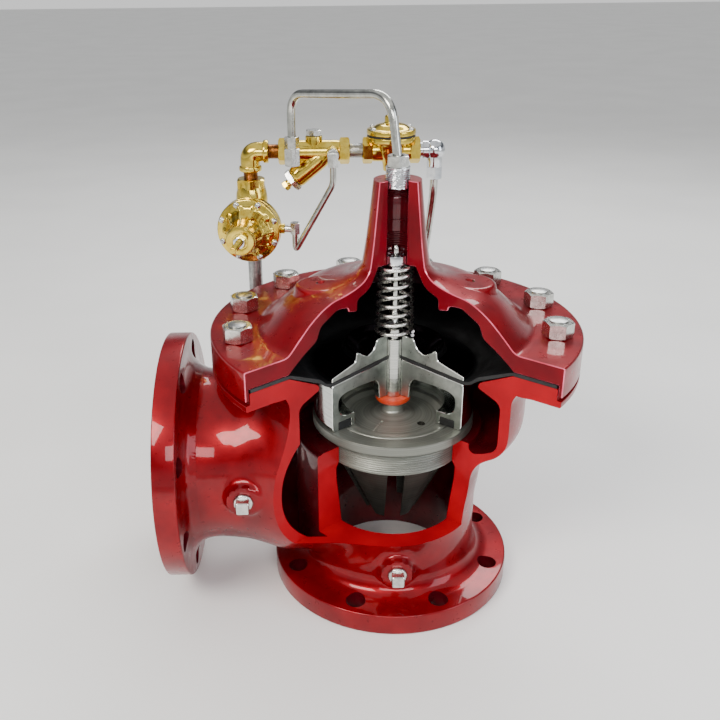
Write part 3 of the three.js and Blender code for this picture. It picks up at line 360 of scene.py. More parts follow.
def solid(name, points, faces, finish, at=(0, 0, 0), turn=(0, 0, 0), soft=30):
    """A closed mesh from points in millimetres, with doubled points merged and faces pointing out."""
    placed = np.asarray(points, float).reshape(-1, 3) @ rotation(turn).T + np.array(at) + ORIGIN
    mesh = bpy.data.meshes.new(name)
    mesh.from_pydata((placed * MM).tolist(), [], [list(face) for face in faces])
    mesh.materials.append(finish)
    shape = bmesh.new()
    shape.from_mesh(mesh)
    bmesh.ops.remove_doubles(shape, verts=shape.verts, dist=1e-3 * MM)
    bmesh.ops.dissolve_degenerate(shape, edges=shape.edges, dist=1e-4 * MM)
    bmesh.ops.recalc_face_normals(shape, faces=shape.faces)
    if shape.calc_volume(signed=True) < 0:
        bmesh.ops.reverse_faces(shape, faces=shape.faces)
    shape.to_mesh(mesh)
    shape.free()
    made = bpy.data.objects.new(name, mesh)
    bpy.context.scene.collection.objects.link(made)
    smooth(made, soft)
    return made


def smooth(piece, angle=30):
    """Smooth shading, with edges sharper than `angle` degrees kept crisp."""
    mesh = piece.data
    mesh.polygons.foreach_set("use_smooth", np.ones(len(mesh.polygons), bool))
    mesh.set_sharp_from_angle(angle=math.radians(angle))


def carried(line, a):
    """A line of radius and height at each angle of the column a: (r cos a, r sin a, z)."""
    heights = np.broadcast_to(line[:, 1], (len(a), len(line)))
    return np.stack([line[:, 0] * np.cos(a), line[:, 0] * np.sin(a), heights], -1)


def turned(name, outline, finish, sides=96, at=(0, 0, 0), turn=(0, 0, 0), soft=30):
    """An outline of radius and height carried round its own axis: (r cos a, r sin a, z)."""
    line = np.asarray(outline, float)
    a = np.linspace(0, 2 * np.pi, sides, endpoint=False)[:, None]
    on_axis = line[0, 0] == 0 and line[-1, 0] == 0
    return solid(name, carried(line, a), quads(sides, len(line), True, not on_axis), finish, at, turn,
                 soft)


def rod(name, r, low, high, finish, at=(0, 0, 0), turn=(0, 0, 0), ease=0.6, sides=48):
    """A round bar with eased ends."""
    line = rounded([(0, low), (r, low), (r, high), (0, high)], ease, 4, closed=False)
    return turned(name, line, finish, sides, at, turn)


def pipe(name, inner, outer, low, high, finish, at=(0, 0, 0), turn=(0, 0, 0), ease=0.5, sides=48):
    """A round sleeve with eased rims."""
    line = rounded([(inner, low), (outer, low), (outer, high), (inner, high)], ease, 4)
    return turned(name, line, finish, sides, at, turn)


def sectioned(name, outline, skin, face, highlight_finish, shares=None, chamfer=0.6, sides=160, lift=None):
    """An outline carried round the stem as far as the wedge allows. Each cut face is drawn in by the
    chamfer, and its rim takes the edge finish, a painted highlight line. `lift` moves the heights of the
    carried points."""
    line = np.asarray(outline, float)
    if shares is None:
        shares = np.linspace(0, 1, sides)
    angles = np.radians(CUT_START + CUT_SWEEP * shares)
    ring = carried(line, angles[:, None])
    if lift is not None:
        ring = lift(ring)
    along = unit(np.roll(line, -1, 0) - np.roll(line, 1, 0))
    inward = np.stack([-along[:, 1], along[:, 0]], -1)
    turning = np.sum(line[:, 0] * np.roll(line[:, 1], -1) - np.roll(line[:, 0], -1) * line[:, 1])
    drawn = line + inward * chamfer * np.sign(turning)
    caps = []
    for end, sign in ((0, 1), (-1, -1)):
        a_end = angles[end]
        out, level = np.array([math.cos(a_end), math.sin(a_end), 0]), np.array([-math.sin(a_end),
            math.cos(a_end), 0])
        caps.append(drawn[:, :1] * out + drawn[:, 1:] * np.array([0, 0, 1.0]))
        ring[end] += sign * chamfer * level
    points = np.vstack([caps[0], ring.reshape(-1, 3), caps[1]])
    made = solid(name, points, capped(len(angles) + 2, len(line)), skin)
    made.data.materials.append(face)
    made.data.materials.append(highlight_finish)
    paint_section(made, chamfer)
    return made


FLAT, SLANTED = 0.995, 0.3     # how squarely a face looks along a cut's normal: in the cut, in its chamfer


def faces_of(piece):
    """The centre in millimetres, the normal and the finish number of each face."""
    polygons = piece.data.polygons
    centres, normals = np.empty(len(polygons) * 3), np.empty(len(polygons) * 3)
    finish = np.empty(len(polygons), np.int32)
    polygons.foreach_get("center", centres)
    polygons.foreach_get("normal", normals)
    polygons.foreach_get("material_index", finish)
    return centres.reshape(-1, 3) / MM - ORIGIN, normals.reshape(-1, 3), finish


def paint_section(piece, chamfer):
    """Faces in a cut plane take the cut finish, and those in the chamfer beside it the edge finish, a
    painted highlight.
    """
    centres, normals, index = faces_of(piece)
    for side in (-1, 1):
        plane = np.array([side * math.cos(math.radians(CUT_HALF)), math.sin(math.radians(CUT_HALF)), 0])
        depth = centres @ plane
        facing = np.abs(normals @ plane)
        near = (np.abs(depth) < 1.5 * chamfer) & (centres[:, 0] * side > 0) & (centres[:, 1] < 0)
        index[near & (facing > FLAT)] = 1
        # painted highlight: faces in the chamfer take the pale edge finish
        index[near & (facing <= FLAT) & (facing > SLANTED)] = 2
    piece.data.polygons.foreach_set("material_index", index)


def block(name, low, high, finish, at=(0, 0, 0), turn=(0, 0, 0)):
    """A box between its lowest and highest corners."""
    (x0, y0, z0), (x1, y1, z1) = low, high
    points = [(x, y, z) for z in (z0, z1) for x, y in ((x0, y0), (x1, y0), (x1, y1), (x0, y1))]
    faces = [(0, 1, 2, 3), (4, 5, 6, 7), (0, 1, 5, 4), (1, 2, 6, 5), (2, 3, 7, 6), (3, 0, 4, 7)]
    return solid(name, points, faces, finish, at, turn)


def swept(name, path, r, finish, up=(0, 0, 1), sides=24, soft=60):
    """A circle of radius r carried along a path, with its ends closed. The circle's first axis is
    square to the path and to `up`."""
    p = np.asarray(path, float)
    ahead = unit(np.gradient(p, axis=0))
    across = unit(np.cross(ahead, up))
    over = np.cross(across, ahead)
    a = np.linspace(0, 2 * np.pi, sides, endpoint=False)[None, :, None]
    points = p[:, None] + r * (np.cos(a) * across[:, None] + np.sin(a) * over[:, None])
    return solid(name, points, capped(len(p), sides), finish, soft=soft)


def bent(corners, bend, steps=14):
    """A line through corners, bent at each with a curve that starts `bend` mm before it."""
    return rounded(corners, bend, steps, closed=False)


def hexagon(name, flats, low, high, finish, at=(0, 0, 0), turn=(0, 0, 0), twist=0, both=False):
    """A hexagon of a width across flats. The radius at angle a is half the width over the cosine of a,
    folded into 30 degrees, and a 30 degree cone takes the corners off the top, or off both ends."""
    a = np.linspace(0, 2 * np.pi, 72, endpoint=False)
    corner = flats / 2 / np.cos((a + np.pi / 6) % (np.pi / 3) - np.pi / 6)
    ring = np.full_like(a, 0.965 * flats / 2)
    drop = (corner - ring) * math.tan(math.radians(30))
    foot = drop if both else np.zeros_like(a)
    rows = [(np.zeros_like(a), np.full_like(a, low)), (ring, np.full_like(a, low)),
            (corner, low + foot),
            (corner, high - drop), (ring, np.full_like(a, high)),
            (np.zeros_like(a), np.full_like(a, high))]
    spin = a + math.radians(twist)
    points = np.stack([np.stack([r * np.cos(spin), r * np.sin(spin), z], -1) for r, z in rows])
    return solid(name, points, quads(len(rows), len(a)), finish, at, turn, 20)


def square_head(name, side, low, high, finish, at=(0, 0, 0), turn=(0, 0, 0)):
    """A square head with its corners rounded: a superellipse of power 8 at each height."""
    a = np.linspace(0, 2 * np.pi, 64, endpoint=False)
    r = side / 2 / (np.abs(np.cos(a)) ** 8 + np.abs(np.sin(a)) ** 8) ** (1 / 8)
    rows = [(0, low), (1, low), (1, high - 1), (0.9, high), (0, high)]
    points = np.stack([np.stack([k * r * np.cos(a), k * r * np.sin(a), np.full_like(a, z)], -1) for k,
                       z in rows])
    return solid(name, points, quads(len(rows), len(a)), finish, at, turn, 35)


def threaded(name, r, low, high, pitch, depth, finish, at=(0, 0, 0), turn=(0, 0, 0), dome=1.2, bore=0.0,
             sides=64):
    """A screw thread: the radius falls by `depth` along a triangle wave of height over pitch, less the
    share of a turn, so the crests climb one pitch a turn. The thread fades out at both ends."""
    rows = int(6 * (high - low) / pitch)
    a = np.linspace(0, 2 * np.pi, sides, endpoint=False)[None, :]
    z = np.linspace(low, high, rows)[:, None]
    wave = np.abs(((z / pitch - a / (2 * np.pi)) % 1) * 2 - 1)
    fade = np.clip(np.minimum(z - low, high - z) / pitch, 0, 1)
    radius = r - depth * wave * fade
    heights = np.broadcast_to(z, radius.shape)
    inner = np.full((1, sides), bore)
    near_foot, near_top = np.full((1, sides), float(low)), np.full((1, sides),
        high + (dome if bore == 0 else 0))
    ease = np.full((1, sides), 0.6 * r), np.full((1, sides), high + 0.75 * dome)
    radius = np.vstack([inner, radius] + ([ease[0]] if bore == 0 else []) + [inner])
    heights = np.vstack([near_foot, heights] + ([ease[1]] if bore == 0 else []) + [near_top])
    points = np.stack([radius * np.cos(a), radius * np.sin(a), heights], -1)
    return solid(name, points, quads(len(points), sides, closed_rows=bore > 0), finish, at, turn, 50)


def result_of(piece):
    """The piece with its modifiers worked into its mesh."""
    graph = bpy.context.evaluated_depsgraph_get()
    mesh = bpy.data.meshes.new_from_object(piece.evaluated_get(graph))
    piece.modifiers.clear()
    piece.data = mesh
    return piece


def combine(piece, tools, operation, soft=30):
    """Works each tool into the piece in turn and takes the tools away."""
    for tool in tools:
        step = piece.modifiers.new("step", "BOOLEAN")
        step.operation = operation
        step.object = tool
        step.solver = "MANIFOLD"
        step.material_mode = "TRANSFER"
        result_of(piece)
        bpy.data.objects.remove(tool)
    smooth(piece, soft)
    return piece


def joined(piece, *others, soft=30):
    """The piece and the others as one closed solid."""
    return combine(piece, others, "UNION", soft)


def cut(piece, *tools, soft=30):
    """The piece with the tools taken out of it. Cut faces keep the finish of the tool."""
    return combine(piece, tools, "DIFFERENCE", soft)


def fitted(piece, body, slot, *nodes):
    """Hands the finished piece to the frame: its body, and the parts it stands for, which are hidden. The
    slot is not used.
    """
    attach(piece, body)
    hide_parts(*nodes)
    return piece


# ---------- body ----------
BOSSES = [((SIDE_PLUG_X, -SIDE_FACE, INLET_Z), TO_MINUS_Y), ((SIDE_PLUG_X, SIDE_FACE, INLET_Z), TO_Y),
          ((0, -LOW_FACE, LOW_PLUG_Z), TO_MINUS_Y), ((0, LOW_FACE, LOW_PLUG_Z), TO_Y)]
BOSS_EASE = 1.5                # rounding of a boss's rim
BOWL_FILLET, BOSS_FILLET = 22, 9
VOXEL = 3.2


def profile_distance(line):
    """A function that gives the signed distance, in mm, from points (r, z) to a closed outline: the
    shortest way to any edge, below zero inside, by counting the edges crossed on the way out."""
    a, b = line, np.roll(line, -1, 0)
    run = b - a
    length = np.maximum((run ** 2).sum(1), 1e-9)

    def distance(points):
        way = points[:, None] - a
        share = np.clip((way * run).sum(2) / length, 0, 1)
        gap = np.sqrt(((way - share[..., None] * run) ** 2).sum(2)).min(1)
        above = (a[:, 1] <= points[:, 1:]) != (b[:, 1] <= points[:, 1:])
        safe = np.where(run[:, 1] == 0, 1e-9, run[:, 1])
        across = a[:, 0] + (points[:, 1:] - a[:, 1]) * run[:, 0] / safe
        inside = (above & (points[:, :1] < across)).sum(1) % 2 == 1
        return np.where(inside, -gap, gap)

    return distance


def soft_union(p, q, width):
    """The lesser of two distances, with a fillet about `width` mm across where they are equal."""
    h = np.clip(0.5 + 0.5 * (q - p) / width, 0, 1)
    return q * (1 - h) + p * h - width * h * (1 - h)


def body_outline():
    """Outside of outlet neck, seat boss and bowl, from inside the outlet flange to the clamp flange."""
    return [(0, 8), (106, 8), (106, 27), (99, 40), (OUTLET_NECK_R, 60), (OUTLET_NECK_R, 115),
            (BOSS_R, 139),
            (102, 154), (106, 164.5), (113, 174), (122, 182), (133, 189), (141, 198), (146, 208),
            (BOWL_OUT_R, 220),
            (BOWL_OUT_R, 262), (153, 272), (153, 284), (0, 284)]


def neck_outline():
    """Outside of the inlet neck by distance from its face, closed by a round end behind the bowl."""
    t = np.linspace(0, np.pi / 2, 10)[1:]
    nose = np.stack([INLET_BULGE_R * np.cos(t), 254 + 88 * np.sin(t)], -1).tolist()
    return [(0, 8), (105, 8), (105, 27), (98, 42), (INLET_NECK_R, 60), (100, 90), (INLET_BULGE_R, 130),
            (INLET_BULGE_R, 254)] + nose


def boss_distance(p, centre, axis):
    """Distance to a round boss: a cylinder from the wall to its face, about an axis along Y."""
    along = (p[:, 1] - centre[1]) * axis
    off = np.hypot(p[:, 0] - centre[0], p[:, 2] - centre[2]) - (PLUG_BOSS_R - BOSS_EASE)
    over = np.maximum(along, -60 - along)
    within = np.minimum(np.maximum(off, over), 0)
    beyond = np.hypot(np.maximum(off, 0), np.maximum(over, 0))
    return within + beyond - BOSS_EASE


def casting_distance():
    """The whole casting without its flanges: bowl and neck with a wide fillet, bosses with a small one."""
    bowl = profile_distance(densified(rounded(body_outline(), 8, 5), 6))
    neck = profile_distance(densified(rounded(neck_outline(), 10, 5), 6))
    bosses = [((x, y - BOSS_EASE * np.sign(y), z), np.sign(y)) for (x, y, z), _ in BOSSES]

    def distance(p):
        about_stem = bowl(np.stack([np.hypot(p[:, 0], p[:, 1]), p[:, 2]], -1))
        about_neck = neck(np.stack([np.hypot(p[:, 1], p[:, 2] - INLET_Z), p[:, 0] - INLET_FACE_X], -1))
        d = soft_union(about_stem, about_neck, BOWL_FILLET)
        for centre, axis in bosses:
            d = soft_union(d, boss_distance(p, centre, axis), BOSS_FILLET)
        return d

    return distance


def settle(points, distance, rounds=4, block=8000):
    """Points moved onto the surface where the distance is nil, along its slope, in a few steps."""
    reach = 0.05
    out = points.copy()
    for first in range(0, len(out), block):
        p = out[first:first + block]
        for _ in range(rounds):
            d = distance(p)
            slope = np.stack([(distance(p + reach * axis) - d) / reach for axis in np.eye(3)], -1)
            p = p - d[:, None] * slope / np.maximum((slope ** 2).sum(1, keepdims=True), 0.25)
        out[first:first + block] = p
    return out


def casting():
    """Voxels of the rough union, each corner then settled onto the filleted surface."""
    bowl = turned("casting", rounded(body_outline(), 8, 5, closed=False), CASTING_ENAMEL, 120)
    neck = turned("neck", neck_outline(), CASTING_ENAMEL, 96, (INLET_FACE_X, 0, INLET_Z), TO_X)
    bosses = [rod("boss", PLUG_BOSS_R, -30, 0, CASTING_ENAMEL, at, way, 2) for at, way in BOSSES]
    shape = joined(bowl, neck, *bosses)
    grid = shape.modifiers.new("grid", "REMESH")
    grid.mode = "VOXEL"
    grid.voxel_size = VOXEL * MM
    result_of(shape)
    mesh = shape.data
    where = np.empty(len(mesh.vertices) * 3)
    mesh.vertices.foreach_get("co", where)
    where = settle(where.reshape(-1, 3) / MM - ORIGIN, casting_distance())
    mesh.vertices.foreach_set("co", ((where + ORIGIN) * MM).ravel())
    mesh.update()
    return shape


def line_flange(name, at=(0, 0, 0), turn=(0, 0, 0)):
    """A flange disc with eased rims and a raised foot where the neck grows out of it."""
    line = rounded([(0, 0), (FLANGE_R, 0), (FLANGE_R, FLANGE_T), (116, FLANGE_T), (105, FLANGE_T + 5),
                    (99, FLANGE_T + 16),
                    (80, FLANGE_T + 16), (0, FLANGE_T + 16)], [0, 1.6, 2.2, 5, 5, 1, 0, 0], 5,
                    closed=False)
    return turned(name, line, CASTING_ENAMEL, 192, at, turn)


def wedge_tool(low, high, finish):
    """The wedge towards -Y that is taken out, between two heights."""
    reach = 2 * CASE_R
    x, y = reach * math.sin(math.radians(CUT_HALF)), -reach * math.cos(math.radians(CUT_HALF))
    plan = [(0, 0), (-x, y), (x, y)]
    points = [(*corner, z) for z in (low, high) for corner in plan]
    faces = [(0, 1, 2), (3, 4, 5), (0, 1, 4, 3), (1, 2, 5, 4), (2, 0, 3, 5)]
    return solid("wedge", points, faces, finish)


def body():
    """The casting with both line flanges and the cover flange, hollowed, drilled and cut open."""
    shape = casting()
    case = rounded([(0, 268), (160, 270), (168, 271), (CASE_R, 271), (CASE_R, 278), (SPIGOT_R, 278),
                    (SPIGOT_R, CLAMP_Z),
                    (0, CLAMP_Z)], [0, 6, 6, 2, 1, 1, 1, 0], 5, closed=False)
    shape = joined(
        shape, line_flange("outlet_flange"),
        line_flange("inlet_flange", (INLET_FACE_X, 0, INLET_Z), TO_X),
        turned("case_flange", case, CASTING_ENAMEL, 192))
    bowl = rounded([(0, 196), (BOSS_R, 197), (BOSS_R, 190), (107, 186), (121, 191), (132, 198),
                    (BOWL_R, 206), (BOWL_R, 250),
                    (131, 256), (118, 261.6), (107, 266.2), (109, 272.2), (CLAMP_INNER_R, CLAMP_Z),
                    (CLAMP_INNER_R, 300),
                    (0, 300)], [0, 1, 4, 6, 6, 6, 6, 6, 5, 5, 3, 3, 1, 0, 0], 5, closed=False)
    bore = rounded([(0, -5), (LINE_BORE_R + 1.5, -5), (LINE_BORE_R + 1.5, 0), (LINE_BORE_R, 1.5),
                    (LINE_BORE_R, 60), (78.3, 91),
                    (81.9, 123), (85, 147), (85.6, 163), (SEAT_THREAD_R + GAP, 168),
                    (SEAT_THREAD_R + GAP, 200), (0, 200)],
                   3, 4, closed=False)
    t = np.linspace(0, np.pi / 2, 9)[1:]
    nose = np.stack([INLET_INNER_R * np.cos(t), 224 + 80 * np.sin(t)], -1).tolist()
    passage = rounded([(0, -5), (LINE_BORE_R + 1.5, -5), (LINE_BORE_R + 1.5, 0), (LINE_BORE_R, 1.5),
                       (LINE_BORE_R, 30),
                       (82, 70), (INLET_INNER_R, 129), (INLET_INNER_R, 224)], 6, 4,
                       closed=False).tolist() + nose
    inlet = turned("passage", passage, SHADE_PASSAGE_ENAMEL, 128, (INLET_FACE_X, 0, INLET_Z), TO_X)
    inlet = cut(inlet, turned("web", rounded([(0, -20), (WEB_R, -20), (WEB_R, 188), (0, 188)], 5, 5,
                                             closed=False),
                              SHADE_PASSAGE_ENAMEL, 128))
    # the hollow is cut with the passage finish, so its walls carry painted shade
    hollow = joined(turned("hollow", bowl, SHADE_PASSAGE_ENAMEL, 160), inlet,
                    turned("bore", bore, SHADE_PASSAGE_ENAMEL, 128))
    tools = [hollow]
    # holes and ports are cut with the bore finish, so their walls carry painted shade
    for k in range(BOLT_HOLES):
        a = 2 * math.pi * (k + 0.5) / BOLT_HOLES
        at = (BOLT_CIRCLE_R * math.cos(a), BOLT_CIRCLE_R * math.sin(a), 0)
        tools.append(rod("hole", BOLT_HOLE_R, -5, FLANGE_T + 14, SHADE_BORE_ENAMEL, at, ease=0))
        across = (INLET_FACE_X, at[0], INLET_Z + at[1])
        tools.append(rod("hole", BOLT_HOLE_R, -5, FLANGE_T + 14, SHADE_BORE_ENAMEL, across, TO_X, ease=0))
    for at, way in BOSSES:
        tools.append(rod("port", PLUG_R + GAP, -22, 5, SHADE_BORE_ENAMEL, at, way, ease=0))
    shape = cut(shape, *tools)
    shape = cut(shape, wedge_tool(CUT_FLOOR, 320, BODY_CUT_ENAMEL), soft=32)
    shape.name = "body_casting"
    return fitted(shape, "valve", "red_enamel", "body")


# ---------- cover ----------
def pad_lift(points):
    """Heights raised to the two lifting pads: each pad is flat, its rim falls away as a quarter circle
    and then steeply, and it meets the dome in a fillet. A pit with a raised middle marks its centre."""
    x, y, z = points[..., 0], points[..., 1], points[..., 2]
    off = np.hypot(np.abs(x) - PAD_X, y)
    ease = 5.0
    rim = np.clip(off - (PAD_R - ease), 0, ease) / ease
    pad = PAD_Z - ease * (1 - np.sqrt(np.maximum(1 - rim ** 2, 0))) - 5.0 * np.maximum(off - PAD_R, 0)
    fillet = 3.0
    h = np.clip(0.5 + 0.5 * (pad - z) / fillet, 0, 1)
    raised = z * (1 - h) + pad * h + fillet * h * (1 - h)
    pit = 2.6 * np.clip(1 - (off / 4.6) ** 4, 0, 1) - 2.0 * np.exp(-(off / 1.7) ** 2)
    on_top = (z > 335) & (np.hypot(x, y) > 50) & (np.hypot(x, y) < 135) & (off < 45)
    outside = points[..., 2] > np.interp(np.hypot(x, y), [50, 54, 66, 81, 104, 125, 146],
                                         [345, 351, 346, 352, 340, 320, 305])
    out = points.copy()
    out[..., 2] = np.where(on_top & outside, np.where(off < 4.6, PAD_Z + 0.4 - pit, raised), z)
    return out


def cover():
    """Bolting flange with its skirt, dome, two pads and the tower, as one carried outline."""
    foot = COVER_TOP_Z
    clamp = CLAMP_Z + DIAPHRAGM_T + 2 * GAP
    grooves = [(TOWER_BORE_R + (k % 2), z) for k, z in enumerate(np.arange(412, 396, -1.2))]
    top_thread = [(TOWER_BORE_R + 0.9 * (k % 2), z) for k, z in enumerate(np.arange(463, 448, -1.1))]
    outside = [(CASE_R, COVER_SKIRT_Z), (CASE_R, foot), (147, foot), (130.4, 330), (116, 343),
               (102, 352.3), (88.4, 358.5),
               (70, 361.5), (55, 365.5), (43.7, 371), (36.5, 380), (32.3, 404.7), (28.5, 436),
               (TOWER_TOP_R, TOWER_TOP_Z)]
    inside = [(25, SPRING_SEAT_Z), (36.6, 360.3), (53.8, 352.4), (54.4, 340), (66.2, 342), (67.3, 347),
              (80.9, 348.6), (104, 335.3), (109, 321.4), (125, 311.7), (141.5, 299),
              (CLAMP_INNER_R, clamp),
              (SPIGOT_R + 0.5, clamp), (SPIGOT_R + 0.5, COVER_SKIRT_Z)]
    soft_out = rounded(outside, [1.4, 2.5, 6, 14, 14, 14, 14, 14, 14, 14, 20, 20, 20, 5], 7,
                       closed=False)
    soft_in = rounded(inside, [1.4, 8, 3, 3, 2, 3, 5, 5, 5, 6, 3, 0.5, 0.5, 1.4], 6, closed=False)
    plain = [(TOWER_BORE_R, 447), (TOWER_BORE_R, 425), (TOWER_BORE_R + 0.5, 424.5), (TOWER_BORE_R, 424)]
    bore = [(TOWER_BORE_R, TOWER_TOP_Z)] + top_thread + plain + grooves + [(TOWER_BORE_R,
        SPRING_SEAT_Z)]
    line = np.vstack([soft_out, bore, soft_in])
    reach = np.hypot(*(np.roll(line, -1, 0) - line).T)
    line = line[reach > 1e-6]
    fine = finer_where(line, 48, 116, 345, 1.3, 9)
    near_pad = np.linspace(-22, 22, 61)
    rest = np.linspace(CUT_START, CUT_START + CUT_SWEEP, 150)
    degrees = np.unique(np.concatenate([rest, near_pad, near_pad + 180]).round(3))
    shares = (degrees - CUT_START) / CUT_SWEEP
    shape = sectioned("cover_casting", fine, CASTING_ENAMEL, CUT_ENAMEL, HIGHLIGHT_EDGE_ENAMEL, shares, 0.9,
                      lift=pad_lift)
    paint_shade_inside(shape)
    return fitted(shape, "valve", "red_enamel", "cover")


def finer_where(line, r_low, r_high, z_low, fine, coarse):
    """The closed line, its points `fine` mm apart in one band of radius above a height, else `coarse`."""
    ends = np.roll(line, -1, 0)
    middle = (line + ends) / 2
    in_band = (middle[:, 0] > r_low) & (middle[:, 0] < r_high) & (middle[:, 1] > z_low)
    counts = np.maximum(1, np.ceil(np.hypot(*(ends - line).T) / np.where(in_band, fine,
        coarse))).astype(int)
    which = np.repeat(np.arange(len(line)), counts)
    share = np.concatenate([np.arange(n) / n for n in counts])[:, None]
    return line[which] * (1 - share) + ends[which] * share


def paint_shade_inside(piece):
    """Faces of the cover's underside and of the tower's bore take the darker finishes: painted shade."""
    mesh = piece.data
    centres, normals, index = faces_of(piece)
    r = np.hypot(centres[:, 0], centres[:, 1])
    outward = (centres[:, 0] * normals[:, 0] + centres[:, 1] * normals[:, 1]) / np.maximum(r, 1)
    mesh.materials.append(SHADE_INSIDE_ENAMEL)
    mesh.materials.append(SHADE_BORE_ENAMEL)
    # painted shade: underside faces that face down or inward take the near-black finish
    under = (r < SPIGOT_R) & (r > 14) & (index == 0) & ((normals[:,
        2] < -0.15) | (outward < -0.5)) & (centres[:, 2] < 390)
    # painted shade: faces in the tower's bore take the dark bore finish
    shaded_bore = (r < TOWER_BORE_R + 1.5) & (index == 0) & (centres[:, 2] < TOWER_TOP_Z - 1)
    index[under] = 3
    index[shaded_bore] = 4
    mesh.polygons.foreach_set("material_index", index)


def cover_studs():
    """The eight nuts outside the wedge, each on its stud."""
    for k in range(STUDS):
        a = math.radians(STUD_STEP * (k - (STUDS - 1) / 2))
        at = (STUD_CIRCLE_R * math.sin(a), STUD_CIRCLE_R * math.cos(a), 0)
        nut = hexagon("cover_nut", NUT_FLATS, COVER_TOP_Z + GAP, COVER_TOP_Z + GAP + NUT_H, ZINC, at,
                      twist=15, both=True)
        stud = threaded("stud", STUD_R, COVER_TOP_Z - 20, STUD_TOP_Z - 1.4, 1.9, 0.8, PLATED_PIPE, at,
                        dome=1.4)
        piece = joined(nut, stud)
        piece.name = f"cover_nut_and_stud_{k + 1}"
        fitted(piece, "valve", "plated_steel", f"cover_stud_{k + 1}")


# ---------- seat, plug and moving stack ----------
def seat_ring():
    """Land, rim and skirt, with the screw thread cut along the skirt."""
    inner = SEAT_THREAD_R - 9
    rim = turned("seat_ring_piece", rounded([(inner, 195), (SEAT_THREAD_R - 2, 195),
                                             (SEAT_THREAD_R - 2, SEAT_LAND_Z + GAP),
                 (SEAT_RING_R, SEAT_LAND_Z + GAP), (SEAT_RING_R, SEAT_TOP_Z), (inner, SEAT_TOP_Z)],
                 [0.3, 0.3, 0.3, 0.6, 1.2, 0.6], 4), SEAT_STEEL, 160)
    skirt = threaded("skirt", SEAT_THREAD_R, 168, SEAT_LAND_Z - 1.2, 2.6, 1.3, SEAT_STEEL, bore=inner,
                     dome=0, sides=144)
    fitted(joined(rim, skirt), "valve", "stainless", "seat_ring")


def clamp_line(r):
    """Underside of the diaphragm washer: a straight slope from the stem to the rim."""
    return 277 - 9 * r / WASHER_R


def washer():
    """The cast washer over the diaphragm, with its hub and raised ring."""
    line = rounded([(10.3, clamp_line(10.3)), (WASHER_R, clamp_line(WASHER_R)), (WASHER_R, 272.5),
                    (56.5, 282), (55, 291.5),
                    (53, 292.6), (45.3, 287), (39, 284.2), (30.2, 288.7), (26, 298), (24, HUB_TOP_Z),
                    (10.3, HUB_TOP_Z)],
                   [1, 1, 1.4, 4, 1.4, 1.4, 4, 5, 6, 2.4, 1.4, 1], 6)
    fitted(sectioned("diaphragm_washer_piece", densified(line, 6), SHADED_WASHER_SKIN, CUT_STEEL, HIGHLIGHT_EDGE_STEEL),
           "stem_assembly",
           "stainless", "diaphragm_washer")


def retainer():
    """The hollow ring that carries the rubber seat disc, and the disc."""
    under = DIAPHRAGM_T + 2 * GAP
    face = SEAT_TOP_Z + GAP
    roof = face + DISC_T + GAP
    line = rounded([
        (10.3, 227.3), (21, 227.3), (22.3, 246), (27.2, 252), (52, 252), (71.7, 250.5), (80, 246.5),
        (81.3, 238), (80, 229),
        (73.3, 223.5), (57.7, 223.5), (57.7, face), (DISC_IN_R - GAP, face), (DISC_IN_R - GAP, roof),
        (DISC_OUT_R + GAP, roof),
        (DISC_OUT_R + GAP, face), (88, face), (RETAINER_R, face + 4),
        (RETAINER_R, clamp_line(90) - under - 2),
        (88.5, clamp_line(88.5) - under), (10.3, clamp_line(10.3) - under)],
        [1, 1, 4, 3, 4, 4, 5, 5, 5, 5, 2.5, 1, 1, 0.3, 0.3, 1, 1.4, 2, 1.4, 1.4, 1], 6)
    shape = sectioned("disc_retainer_piece", densified(line, 6), RETAINER_SKIN, CUT_STEEL, HIGHLIGHT_EDGE_STEEL)
    fitted(shape, "stem_assembly", "stainless", "disc_retainer")
    disc = rounded([(DISC_IN_R, face), (DISC_OUT_R, face), (DISC_OUT_R, face + DISC_T),
                    (DISC_IN_R, face + DISC_T)], 0.6, 4)
    fitted(sectioned("seat_disc_rubber", disc, RUBBER, RUBBER, RUBBER, chamfer=0.4), "stem_assembly",
           "black_rubber", "seat_disc")


def throttling_plug():
    """A dished disc with a raised hub, and a slotted cone under it."""
    dish = rounded([(6.3, 199), (50, 196), (66, 166), (25, 79), (29, 79), (70, 166), (70, 203),
                    (69, 207), (56, 206), (50, 201.5),
                    (26, 203), (14, 206.5), (11.5, 209), (11.5, 219), (6.3, 219)],
                   [0.3, 6, 3, 0.5, 1, 1, 1, 1.5, 2, 5, 6, 3, 1.5, 0.8, 0.3], 5)
    shape = turned("throttling_plug_piece", densified(dish, 8), PLUG_STEEL, 144)
    tools = []
    for k in range(6):
        tools.append(block("slot", (-9.5, -95, 66), (9.5, -8, 162), SHADED_CONE_STEEL, turn=(0, 0, 60 * k)))
    tools.append(rod("drain", 4.5, 190, 212, SHADED_CONE_STEEL, (30, -27, 0), ease=0))
    groove = bent([(-13, -22, 204.2), (-25, -44, 202.4)], 1, 4)
    groove = np.linspace(groove[0], groove[-1], 12)
    tools.append(swept("groove", groove, 2.0, PLUG_STEEL, sides=16))
    shape = cut(shape, *tools)
    # painted shade: faces of the cone below the dish take the dark copy of the steel
    shape.data.materials.append(SHADED_CONE_STEEL)
    shade_below(shape, 190, len(shape.data.materials) - 1)
    fitted(shape, "stem_assembly", "stainless", "throttling_plug")
    seal = rounded([(10.3, 219.3), (17, 219.3), (19.6, 222), (20, 227), (10.3, 227)],
                   [0.3, 0.5, 0.8, 0.4, 0.3], 4)
    fitted(turned("hub_seal_ring", seal, SEAL, 96), "stem_assembly", "orange_seal", "hub_seal")


def shade_below(piece, height, slot_index):
    """Faces under a height take another of the piece's finishes: on the plug, the darker copy that paints
    shade in the bore.
    """
    centres, _, index = faces_of(piece)
    index[centres[:, 2] < height] = slot_index
    piece.data.polygons.foreach_set("material_index", index)


